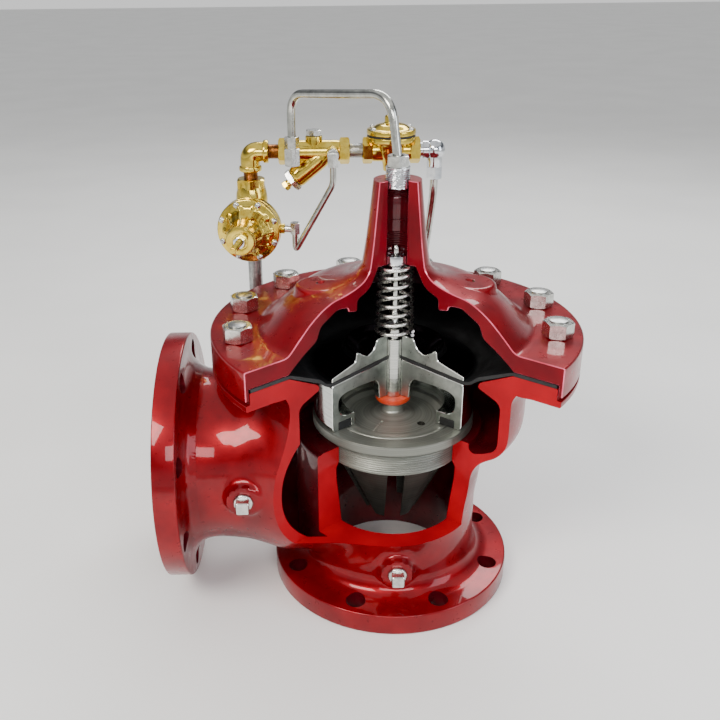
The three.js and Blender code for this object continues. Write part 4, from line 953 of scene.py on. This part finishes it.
def stem():
    """Stem with its guide rod, spacer, lock nut and the bush in the tower."""
    line = rounded([(0, 204), (STEM_THREAD_R, 204), (STEM_THREAD_R, 219.5), (STEM_R, 219.5),
                    (STEM_R, 296), (STEM_THREAD_R, 296),
                    (STEM_THREAD_R, 309), (STEM_THREAD_R, 326), (GUIDE_R, 328), (GUIDE_R, 386),
                    (GUIDE_R - 0.7, 387),
                    (GUIDE_R - 0.7, 389), (GUIDE_R, 390), (GUIDE_R, 397.5), (GUIDE_R - 1.6, 401),
                    (0, 402)],
                   [0, 0.6, 0.6, 0.8, 0.8, 0.6, 0.2, 0.8, 0.8, 0.3, 0.3, 0.3, 0.3, 2, 1.4, 0], 5,
                   closed=False)
    thread = threaded("stem_thread", STEM_THREAD_R, 310, 325, 1.5, 0.5, STEM_STEEL, dome=0.3)
    fitted(joined(turned("valve_stem", line, STEM_STEEL, 64), thread), "stem_assembly", "stainless",
           "stem")
    spacer = pipe("stem_spacer_ring", 6.3, 9.2, 300.3, 308.7, STEM_STEEL, ease=0.8)
    fitted(spacer, "stem_assembly", "stainless", "stem_spacer")
    nut = cut(hexagon("stem_lock_nut", 19, 309, 317, CHROME, both=True),
              rod("bore", 6.3, 300, 330, CHROME, ease=0))
    fitted(nut, "stem_assembly", "stainless", "stem_nut")
    bush = rounded([(GUIDE_R + GAP, 375.4), (9, 375.4), (9, 379), (12.5, 380.2), (12.5, 390.9),
                    (10.5, 390.9), (9.2, 388.4),
                    (GUIDE_R + GAP, 388.4)], 0.6, 4)
    fitted(turned("stem_guide_bush", bush, CHROME, 64), "valve", "bronze", "stem_bearing")


def diaphragm():
    """Rubber over cloth, in twelve sectors carried round the stem as far as the wedge allows."""
    rim = clamp_line(WASHER_R) - GAP
    low = CLAMP_Z + GAP
    hub = clamp_line(10.3) - GAP
    line = rounded([(10.3, hub - DIAPHRAGM_T), (WASHER_R, rim - DIAPHRAGM_T),
                    (98, rim - DIAPHRAGM_T + 2), (106, 273),
                    (CLAMP_INNER_R, low + 0.6), (148, low), (DIAPHRAGM_R, low),
                    (DIAPHRAGM_R, low + DIAPHRAGM_T),
                    (145, low + DIAPHRAGM_T), (105, 273 + DIAPHRAGM_T + 0.5), (98, rim + 2),
                    (WASHER_R, rim), (10.3, hub)],
                   [0.2, 2, 4, 6, 4, 1, 0.5, 0.5, 4, 6, 4, 2, 0.2], 5)
    line = densified(line, 4)
    sectors = 12
    step = CUT_SWEEP / sectors
    for k in range(sectors):
        a = np.radians(CUT_START + step * (k + np.linspace(0, 1, 14)))[:, None]
        piece = solid(f"diaphragm_sector_{k + 1}", carried(line, a), capped(len(a), len(line)), RUBBER)
        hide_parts("diaphragm")
        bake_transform(piece)


def main_spring():
    """A helix that narrows upwards. The first and last turns close up flat."""
    turns, wire, travel = 8.0, 4.0, 38
    low, high = HUB_TOP_Z + GAP + wire / 2, SPRING_SEAT_Z - GAP - wire / 2
    t = np.linspace(0, 1, int(turns * 56))
    a = 2 * np.pi * turns * t
    ends = 0.09
    rise = np.clip((t - ends) / (1 - 2 * ends), 0, 1)
    first, last = np.clip(t / ends, 0, 1), np.clip((t - 1 + ends) / ends, 0, 1)
    z = low + (high - low) * (0.05 * first + 0.9 * rise + 0.05 * last)
    r = 20.2 - 2.8 * t
    path = np.stack([r * np.cos(a), r * np.sin(a), z], -1)
    piece = swept("main_spring_coil", path, wire / 2, SPRING_STEEL, sides=16)
    fitted(piece, "valve", "plated_steel", "main_spring")
    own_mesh(piece)


# ---------- plugs in the bosses ----------
def pipe_plug(name, at, turn, replaced):
    """A square-headed plug: thread in the port, a round shoulder, and the head."""
    head = square_head(name, 14, 1, 13, ZINC, at, turn)
    shoulder = turned("shoulder", rounded([(0, -6), (PLUG_R, -6), (PLUG_R, 1.4), (9.5, 3), (0, 3)],
                                          [0, 0.3, 1, 1, 0], 4, closed=False),
                      ZINC, 64, at, turn)
    fitted(joined(head, shoulder), "valve", "plated_steel", replaced)


# ---------- pilot line ----------
def on_line(x):
    """A point of the pilot line's own axis."""
    return (x, LINE_Y, LINE_Z)


def hex_ended(name, length, middle, finish, at, turn, flats=27):
    """A fitting with a hexagon at each end and a round waist between."""
    first = hexagon(name, flats, 0, 12, finish, at, turn, 30, both=True)
    second = hexagon("end", flats, length - 12, length, finish, at, turn, 30, both=True)
    waist = rounded([(0, 8), (middle * 0.92, 8), (middle, 16), (middle, length - 16),
                     (middle * 0.92, length - 8), (0, length - 8)],
                    [0, 1, 5, 5, 1, 0], 5, closed=False)
    return joined(first, second, turned("waist", waist, finish, 64, at, turn))


LEG_LEAN = -129


def strainer():
    """Y-shaped strainer: the leg leans down and back towards the inlet, and ends in a hexagon cap."""
    left = on_line(STRAINER_X - STRAINER_HALF)
    foot, lean = (STRAINER_X + 16, LINE_Y, LINE_Z), (0, LEG_LEAN, 0)
    shape = hex_ended("strainer_casting", 2 * STRAINER_HALF, 12.5, BRASS, left, TO_X)
    leg = rounded([(0, 4), (12, 4), (13, 14), (13, 47), (12, 50), (0, 50)], [0, 1, 3, 2, 2, 0], 5,
                  closed=False)
    shape = joined(
        shape, turned("leg", leg, BRASS, 64, foot, lean),
        rod("top_boss", 10, 2, 18, BRASS, (STRAINER_X, LINE_Y, LINE_Z), ease=1.5),
        rod("sense_boss", 8, 2, 15, BRASS, (STRAINER_X + 22, LINE_Y, LINE_Z), TO_MINUS_Y, 1.2),
        rod("tube_boss", 9, 2, 15, BRASS, (STRAINER_X - 25, LINE_Y, LINE_Z), TO_MINUS_Y, 1.2))
    ports = [rod("port", PIPE_R + GAP, -1, 9, DULL_BRASS, left, TO_X, ease=0),
             rod("port", PIPE_R + GAP, 2 * STRAINER_HALF - 9, 2 * STRAINER_HALF + 1, DULL_BRASS, left,
                 TO_X, ease=0)]
    fitted(cut(shape, *ports), "valve", "brass", "strainer_body")
    fitted(hexagon("strainer_leg_cap", 25, 50.3, 57, ZINC, foot, lean, both=True), "valve",
           "plated_steel", "strainer_cap")
    blow = joined(rod("blowdown_plug_piece", 5, 57.3, 62, BRASS, foot, lean),
                  hexagon("head", 11, 61.5, 67, BRASS, foot, lean, both=True))
    fitted(blow, "valve", "brass", "strainer_blowdown_plug")
    top = joined(hexagon("strainer_top_plug_piece", 17.5, 18.3, 25, ZINC, (STRAINER_X, LINE_Y, LINE_Z),
                         both=True),
                 rod("neck", 5, 15, 20, ZINC, (STRAINER_X, LINE_Y, LINE_Z)))
    fitted(top, "valve", "plated_steel", "strainer_top_plug")


def pipe_runs():
    """Elbow between the strainer and the pilot, and the short nipples of the line."""
    reach = 22
    corner = (PILOT_X, LINE_Y, LINE_Z)
    path = bent([(PILOT_X + reach, LINE_Y, LINE_Z), corner, (PILOT_X, LINE_Y, LINE_Z - reach)], 17, 20)
    bend = swept("line_elbow_piece", path, 11.5, BRASS, up=(0, 1, 0), sides=48)
    for at, turn, low in ((on_line(PILOT_X + reach), TO_X, -6),
                          ((PILOT_X, LINE_Y, LINE_Z - reach), (0, 0, 0), -0.4)):
        band = rounded([(0, low), (13.5, low), (13.5, low + 6.4), (0, low + 6.4)], [0, 2, 2, 0], 5,
                       closed=False)
        bend = joined(bend, turned("band", band, BRASS, 64, at, turn))
    ports = [rod("port", PIPE_R + GAP, -9, 2, DULL_BRASS, on_line(PILOT_X + reach), TO_X, ease=0),
             rod("port", PIPE_R + GAP, -2, 9, DULL_BRASS, (PILOT_X, LINE_Y, LINE_Z - reach), ease=0)]
    fitted(cut(bend, *ports), "valve", "brass", "line_elbow")
    left, left_end = PILOT_X + reach - 8.7, STRAINER_X - STRAINER_HALF + 8.7
    right, right_end = STRAINER_X + STRAINER_HALF - 8.7, AUX_X - AUX_HALF + 8.7
    low, high = PILOT_Z + 57 - 8.7, LINE_Z - reach + 8.7
    fitted(threaded("line_nipple_piece", PIPE_R, 0, left_end - left, 1.6, 0.5, BRONZE, on_line(left),
                    TO_X, dome=0, bore=6), "valve",
           "bronze", "line_nipple")
    fitted(threaded("strainer_nipple_piece", PIPE_R, 0, right_end - right, 1.6, 0.5, PLATED_PIPE,
                    on_line(right), TO_X, dome=0, bore=6),
           "valve", "plated_steel", "strainer_nipple")
    fitted(threaded("pilot_nipple_piece", PIPE_R, low, high, 1.6, 0.5, BRONZE, (PILOT_X, LINE_Y, 0),
                    dome=0, bore=6), "valve",
           "bronze", "pilot_nipple")


PILOT_AT = (PILOT_X, LINE_Y, PILOT_Z)
PILOT_WAY = (90, 0, PILOT_TURN)


def onto_pilot(point):
    """A point of the pilot's own frame, with +Z along its axis, in the valve's frame."""
    return tuple(np.array(point, float) @ rotation(PILOT_WAY).T + np.array(PILOT_AT))


def pilot_body():
    """Upright barrel between two hexagons, with a round plate towards the bonnet."""
    low, high = PILOT_Z - 42, PILOT_Z + 57
    stand = (PILOT_X, LINE_Y, 0)
    barrel = turned("pilot_casting", rounded([(0, low + 4), (16, low + 4), (19, low + 18),
                                              (19, high - 20), (16, high - 8), (0, high - 8)],
                    [0, 2, 8, 8, 2, 0], 6, closed=False), BRASS, 64, stand)
    plate = rounded([(0, -16), (17, -16), (22, -10), (24, 4), (35, 9), (PILOT_FLANGE_R, 11),
                     (PILOT_FLANGE_R, 19.7), (0, 19.7)],
                    [0, 3, 4, 6, 3, 1.5, 1, 0], 6, closed=False)
    shape = joined(
        barrel, hexagon("top", 32, high - 12, high, BRASS, stand, both=True),
        hexagon("foot", 28, low, low + 12, BRASS, stand, both=True),
        turned("plate", plate, BRASS, 128, PILOT_AT, PILOT_WAY),
        rod("sense_boss", 6, 20, PILOT_FLANGE_R + 4, BRASS, onto_pilot((0, 0, 14)), (0, 90, PILOT_TURN),
            1))
    ports = [rod("port", PIPE_R + GAP, high - 9, high + 2, DULL_BRASS, stand, ease=0),
             rod("port", PIPE_R + GAP, low - 2, low + 9, DULL_BRASS, stand, ease=0)]
    fitted(cut(shape, *ports), "valve", "brass", "pilot_body")


RIBS = 10
SCREWS = 8


def pilot_bonnet():
    """Round flange and tapering spring housing. Between them the face is fluted: the surface is raised by
    a bell of the angle from the nearest rib, most at the middle of the taper."""
    seam = PILOT_SEAM + 2
    outer = rounded([(0, seam), (PILOT_FLANGE_R, seam), (PILOT_FLANGE_R, seam + 7), (31, seam + 7.6),
                     (27, seam + 8.6), (20, seam + 22),
                     (17.5, PILOT_END - 14), (17.5, PILOT_END - 3), (15, PILOT_END - 1),
                     (9, PILOT_END - 0.4), (0, PILOT_END - 0.4)],
                    [0, 0.8, 1.6, 1, 4, 6, 5, 1.6, 1, 1, 0], 6, closed=False)
    line = finer_where(outer, 17, 31.5, seam + 5, 1.0, 6)[:-1]
    line = np.vstack([line, outer[-1:]])
    sides = 224
    a = np.linspace(0, 2 * np.pi, sides, endpoint=False)[:, None]
    r, z = line[:, 0][None], line[:, 1][None]
    taper = np.clip((r - 18.5) / 6, 0, 1) * np.clip((31.5 - r) / 3, 0, 1) * (z > seam + 6.5)
    off = (a * RIBS / (2 * np.pi) + 0.5) % 1 - 0.5
    lift = 3.0 * taper * np.exp(-((off / 0.16) ** 2))
    points = np.stack([r * np.cos(a), r * np.sin(a), z + lift], -1)
    shape = solid("pilot_bonnet_casting", points, quads(sides, len(line), True, False), BRASS, PILOT_AT,
                  PILOT_WAY, 40)
    shape = joined(shape, pipe("collar", 9, 16.4, PILOT_END - 6, PILOT_END, BRASS, PILOT_AT, PILOT_WAY,
                               0.8, 96))
    hole = rod("hole", PILOT_SCREW_R + GAP, 40, PILOT_END + 5, DULL_BRASS, PILOT_AT, PILOT_WAY, ease=0)
    chamber = rod("chamber", 14, 10, PILOT_END - 9, DULL_BRASS, PILOT_AT, PILOT_WAY, ease=0)
    fitted(cut(shape, hole, chamber), "valve", "brass", "pilot_bonnet")
    for k in range(SCREWS):
        t = 2 * math.pi * (k + 0.5) / SCREWS
        at = onto_pilot((33.8 * math.cos(t), 33.8 * math.sin(t), 0))
        screw_head(f"pilot_screw_{k + 1}", 3.9, seam + 6.6, at, PILOT_WAY)


def screw_head(name, r, low, at, turn):
    """A round-headed machine screw with a slot."""
    t = np.linspace(0, np.pi / 2, 7)
    dome = np.stack([r * np.cos(t), low + 0.8 + 0.62 * r * np.sin(t)], -1)
    head = turned(name, np.vstack([[(0, low)], [(r, low)], dome[:-1], [(0, dome[-1, 1])]]), ZINC, 32,
                  at, turn)
    w, h = 0.5, r * 1.2
    top, floor = low + 0.8 + 0.62 * r + 1, low + 0.8 + 0.3 * r
    head = cut(head, block("slot", (-w, -h, floor), (w, h, top), ZINC, at, turn))
    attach(head, "valve")


def pilot_screw():
    """The adjusting screw with its square tip, and the jam nut round it."""
    thread = threaded("adjusting_screw_piece", PILOT_SCREW_R, 59.3, PILOT_TIP - 3, 1.25, 0.45, BRASS,
                      PILOT_AT, PILOT_WAY, dome=0.4)
    tip = square_head("tip", 5.4, PILOT_TIP - 5, PILOT_TIP, BRASS, PILOT_AT, PILOT_WAY)
    fitted(joined(thread, tip), "adjusting_screw_body", "brass", "adjusting_screw")
    nut = cut(hexagon("pilot_jam_nut", 13, PILOT_END + GAP, PILOT_END + 6, CHROME, PILOT_AT, PILOT_WAY,
                      both=True),
              rod("bore", PILOT_SCREW_R + GAP, PILOT_END - 2, PILOT_END + 9, CHROME, PILOT_AT,
                  PILOT_WAY, ease=0))
    fitted(nut, "valve", "plated_steel", "adjusting_jam_nut")


def auxiliary_valve():
    """Small diaphragm valve of the line: a bowl with hexagon ends, and a bolted cover."""
    at = on_line(AUX_X)
    left = on_line(AUX_X - AUX_HALF)
    seam = AUX_SEAM
    bowl = rounded([(0, -24), (9, -24), (10, -14), (17, -4), (20, 8), (AUX_FLANGE_R, 11),
                    (AUX_FLANGE_R, seam), (0, seam)],
                   [0, 1.5, 4, 5, 4, 1.5, 1, 0], 6, closed=False)
    shape = joined(hex_ended("auxiliary_casting", 2 * AUX_HALF, 13, BRASS, left, TO_X),
                   turned("bowl", bowl, BRASS, 96, at))
    ports = [rod("port", PIPE_R + GAP, -1, 9, DULL_BRASS, left, TO_X, ease=0),
             rod("port", PIPE_R + GAP, 2 * AUX_HALF - 9, 2 * AUX_HALF + 1, DULL_BRASS, left, TO_X,
                 ease=0),
             rod("chamber", 15, 4, seam + 3, DULL_BRASS, at, ease=0)]
    fitted(cut(shape, *ports), "valve", "brass", "auxiliary_valve_body")
    low = seam + 2.3
    bonnet = rounded([(0, seam + 10), (13, seam + 9), (18, low), (AUX_FLANGE_R, low),
                      (AUX_FLANGE_R, seam + 8), (23, seam + 8.6), (17, seam + 13),
                      (9, seam + 14.5), (8, seam + 16), (8, seam + 22), (6.5, seam + 23.5),
                      (0, seam + 23.5)],
                     [0, 2, 0.5, 0.8, 1.5, 1.5, 3, 2, 1, 1, 1, 0], 5, closed=False)
    fitted(turned("auxiliary_cover_casting", bonnet, BRASS, 96, at), "valve", "brass",
           "auxiliary_valve_cover")
    for k in range(6):
        t = 2 * math.pi * (k + 0.5) / 6
        where = (at[0] + 25 * math.cos(t), at[1] + 25 * math.sin(t), at[2])
        screw_head(f"auxiliary_screw_{k + 1}", 3.2, seam + 8, where, (0, 0, 25 * k))


# ---------- tubes and their fittings ----------
def cover_tube():
    """The bent tube from the tower to the strainer, and the fittings at its ends."""
    x, y = STRAINER_X - 25, LINE_Y - 28
    shoulder = TOWER_TOP_Z + 12.5
    fitting = joined(
        threaded("cover_fitting_piece", TOWER_BORE_R - GAP, TOWER_TOP_Z - 8, TOWER_TOP_Z + 12.6, 1.8,
                 0.7, CHROME, dome=0.2, sides=96),
        hexagon("nut", 20.6, shoulder, shoulder + 11.5, ZINC, both=True))
    hole = rod("hole", TUBE_R + 4 * GAP, shoulder + 3.5, shoulder + 14, ZINC, ease=0)
    fitted(cut(fitting, hole), "valve", "plated_steel", "cover_fitting")
    at = (x, y, LINE_Z)
    elbow = joined(
        hexagon("strainer_tube_elbow_piece", 17, -11, 9, ZINC, at, both=True),
        hexagon("nut", 15, 8, 22, ZINC, at, twist=30, both=True),
        rod("stub", 8.5, 15.3, 28, ZINC, (x, LINE_Y, LINE_Z), TO_MINUS_Y))
    fitted(cut(elbow, rod("socket", TUBE_R + GAP, 10, 30, ZINC, at, ease=0)), "valve", "plated_steel",
           "strainer_tube_elbow")
    path = bent([(x, y, LINE_Z + 18), (x, y, 537), (-8, 6, 552), (0, 0, TOWER_TOP_Z + 17)], 27, 18)
    fitted(swept("cover_tube_piece", path, TUBE_R, TUBE_STEEL, up=(0.77, 0.63, 0), sides=32), "valve",
           "stainless", "cover_tube")


def sensing_tube():
    """The thin tube from the strainer down to the pilot's side, and its two elbows."""
    x, y = STRAINER_X + 22, LINE_Y - 25
    upper = joined(
        hexagon("sensing_elbow_piece", 12, -14, 2, ZINC, (x, y, LINE_Z), both=True),
        rod("stub", 7, 15.3, 28, ZINC, (x, LINE_Y, LINE_Z), TO_MINUS_Y, 1.5))
    upper = cut(upper, rod("hole", TUBE_R - 1 + GAP, -20, -5, ZINC, (x, y, LINE_Z), ease=0))
    fitted(upper, "valve", "plated_steel", "sensing_elbow")
    stub = PILOT_FLANGE_R + 4 + GAP
    mouth = onto_pilot((stub + 12, 0, 14))
    lower = joined(hexagon("pilot_side_elbow_piece", 11, -6, 8, ZINC, mouth, both=True),
                   rod("stub", 4.5, stub, stub + 12, ZINC, onto_pilot((0, 0, 14)), (0, 90, PILOT_TURN),
                       0.5))
    fitted(lower, "valve", "plated_steel", "pilot_side_elbow")
    route = [(mouth[0], mouth[1], mouth[2] - 6.3), (mouth[0], mouth[1], mouth[2] - 27),
             (x, y, LINE_Z - 34), (x, y, LINE_Z - 7)]
    fitted(swept("sensing_tube_piece", bent(route, 7, 12), TUBE_R - 1, TUBE_STEEL, up=(0, 1, 0),
                 sides=24), "valve", "stainless",
           "sensing_tube")


def body_tubes():
    """The tube and the pipe that go down behind the cover, with their fittings."""
    right = AUX_X + AUX_HALF
    x = right + 18
    ball = np.stack([12 * np.sin(np.linspace(0, np.pi, 24)), -12 * np.cos(np.linspace(0, np.pi, 24))],
                    -1)
    ball[0, 0] = ball[-1, 0] = 0
    elbow = joined(
        turned("auxiliary_outlet_elbow_piece", ball, CHROME, 64, on_line(x)),
        pipe("collar", 3, 10.6, 3, 10, CHROME, on_line(right), TO_X),
        rod("stub", PIPE_R, -8.7, 14, CHROME, on_line(right), TO_X),
        rod("drop", 9, -20, 0, CHROME, on_line(x)),
        hexagon("nut", 17, -34, -19, CHROME, on_line(x), both=True))
    hole = rod("hole", TUBE_R + GAP, -40, -22, CHROME, on_line(x), ease=0)
    fitted(cut(elbow, hole), "valve", "plated_steel", "auxiliary_outlet_elbow")
    back = CASE_R + 18
    route = [(x, LINE_Y, LINE_Z - 24), (x, LINE_Y, LINE_Z - 52), (x - 2, back, 312), (20, back, 190),
             (0, back, 120),
             (0, back, LOW_PLUG_Z), (0, LOW_FACE + 12, LOW_PLUG_Z)]
    fitted(swept("outlet_tube_piece", bent(route, 20, 12), TUBE_R, TUBE_STEEL, up=(1, 0, 0), sides=24),
           "valve", "stainless",
           "outlet_tube")
    at = (0, 0, LOW_PLUG_Z)
    fitting = joined(hexagon("outlet_tube_fitting_piece", 22, LOW_FACE + GAP, LOW_FACE + 22, ZINC, at,
                             TO_Y, both=True),
                     rod("thread", PLUG_R, LOW_FACE - 15, LOW_FACE + 1, ZINC, at, TO_Y))
    fitted(cut(fitting, rod("hole", TUBE_R + GAP, LOW_FACE + 11, LOW_FACE + 30, ZINC, at, TO_Y,
                            ease=0)), "valve", "plated_steel",
           "outlet_tube_fitting")
    start = (PILOT_X - 3, 0, INLET_Z)
    route = [(PILOT_X - 3, SIDE_FACE + 8, INLET_Z), (PILOT_X - 3, LINE_Y, INLET_Z),
             (PILOT_X, LINE_Y, INLET_Z + 26)]
    street = joined(
        swept("supply_elbow_piece", bent(route, 18, 20), 12, PLATED_PIPE, up=(1, 0, 0), sides=40),
        rod("thread", PLUG_R, SIDE_FACE - 15, SIDE_FACE + 2, PLATED_PIPE, start, TO_Y),
        rod("collar", 13, SIDE_FACE + GAP, SIDE_FACE + 14, PLATED_PIPE, start, TO_Y, 1.5),
        rod("band", 14, 16, 26, PLATED_PIPE, (PILOT_X, LINE_Y, INLET_Z), ease=2))
    fitted(cut(street, rod("mouth", PIPE_R + GAP, 15.2, 30, PLATED_PIPE, (PILOT_X, LINE_Y, INLET_Z),
                           ease=0)), "valve",
           "plated_steel", "supply_elbow")
    pipe_low, pipe_high = INLET_Z + 15.3, PILOT_Z - 42 + 8.7
    fitted(pipe("supply_pipe_piece", 6, PIPE_R, pipe_low, pipe_high, PLATED_PIPE, (PILOT_X, LINE_Y, 0),
                ease=0.6), "valve",
           "plated_steel", "supply_pipe")


# ---------- pieces kept from the frame ----------
KEPT = {
    "strainer_screen": TUBE_STEEL, "pilot_diaphragm": RUBBER, "pilot_poppet": STEM_STEEL,
    "pilot_spring": SPRING_STEEL,
    "pilot_spring_plate": PLATED_PIPE, "pilot_spring_button": PLATED_PIPE,
    "auxiliary_valve_diaphragm": RUBBER,
    "auxiliary_valve_disc": DULL_BRASS,
}


def keep_small_pieces():
    """Sealed inner pieces keep their plain shape and take the finish of what they are made of."""
    for name, finish in KEPT.items():
        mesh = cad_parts[name].data
        mesh.materials.clear()
        mesh.materials.append(finish)


# ---------- floor and light ----------
FLOOR_SIZE, FLOOR_DROP = 30, 0.0005   # metres


def studio():
    """A pale floor without an edge, a bright even surround with a darker band for metal to mirror, and
    three soft panels."""
    floor_finish, tree, surface, mm = blank("pale_floor", Roughness=0.6)
    tree.links.new(shades(tree, noise(tree, mm, 300, 2), "#eeeeec", "#f3f3f1"),
                   surface.inputs["Base Color"])
    bpy.ops.mesh.primitive_plane_add(size=FLOOR_SIZE, location=(0, 0, -FLOOR_DROP))
    floor = bpy.context.object
    floor.name = "floor"
    floor.data.materials.append(floor_finish)
    world = bpy.data.worlds.new("studio")
    bpy.context.scene.world = world
    world.use_nodes = True
    sky = world.node_tree
    where = node(sky, "ShaderNodeTexCoord")
    axes = node(sky, "ShaderNodeSeparateXYZ", {"Vector": where.outputs["Generated"]})
    ramp = node(sky, "ShaderNodeValToRGB", {"Fac": axes.outputs["Z"]})
    bands = [(0.0, "#ffffff"), (0.15, "#d8dade"), (0.3, "#5c5e62"), (0.5, "#7c7e84"), (0.75, "#ffffff"),
             (1.0, "#ffffff")]
    ramp.color_ramp.elements[0].color = linear(bands[0][1])
    ramp.color_ramp.elements[1].color = linear(bands[-1][1])
    for position, colour in bands[1:-1]:
        ramp.color_ramp.elements.new(position).color = linear(colour)
    sky.nodes["Background"].inputs["Strength"].default_value = 0.9
    sky.links.new(ramp.outputs["Color"], sky.nodes["Background"].inputs["Color"])
    panels = [("key", (-1.1, -1.3, 1.7), 1.0, 0.7, 42, "#fff8f0"),
              ("fill", (1.6, -0.9, 0.9), 0.8, 1.2, 14, "#eef3ff"),
              ("back", (0.5, 1.6, 1.8), 1.6, 0.7, 34, "#ffffff"),
              ("front", (0.15, -1.6, 1.05), 1.2, 0.4, 15, "#ffffff")]
    for name, place, width, height, power, colour in panels:
        light = bpy.data.lights.new(name, "AREA")
        light.shape = "RECTANGLE"
        light.size, light.size_y = width, height
        light.energy = power
        light.color = linear(colour)[:3]
        panel = bpy.data.objects.new(name, light)
        aim = Vector((0, 0, 0.25)) - Vector(place)
        panel.matrix_world = Matrix.Translation(place) @ aim.to_track_quat("-Z",
            "Y").to_matrix().to_4x4()
        bpy.context.scene.collection.objects.link(panel)


body()
cover()
cover_studs()
seat_ring()
washer()
retainer()
throttling_plug()
stem()
diaphragm()
main_spring()
pipe_plug("inlet_neck_plug_piece", (SIDE_PLUG_X, -SIDE_FACE, INLET_Z), TO_MINUS_Y, "inlet_neck_plug")
pipe_plug("outlet_neck_plug_piece", (0, -LOW_FACE, LOW_PLUG_Z), TO_MINUS_Y, "outlet_neck_plug")
strainer()
pipe_runs()
pilot_body()
pilot_bonnet()
pilot_screw()
auxiliary_valve()
cover_tube()
sensing_tube()
body_tubes()
keep_small_pieces()
studio()
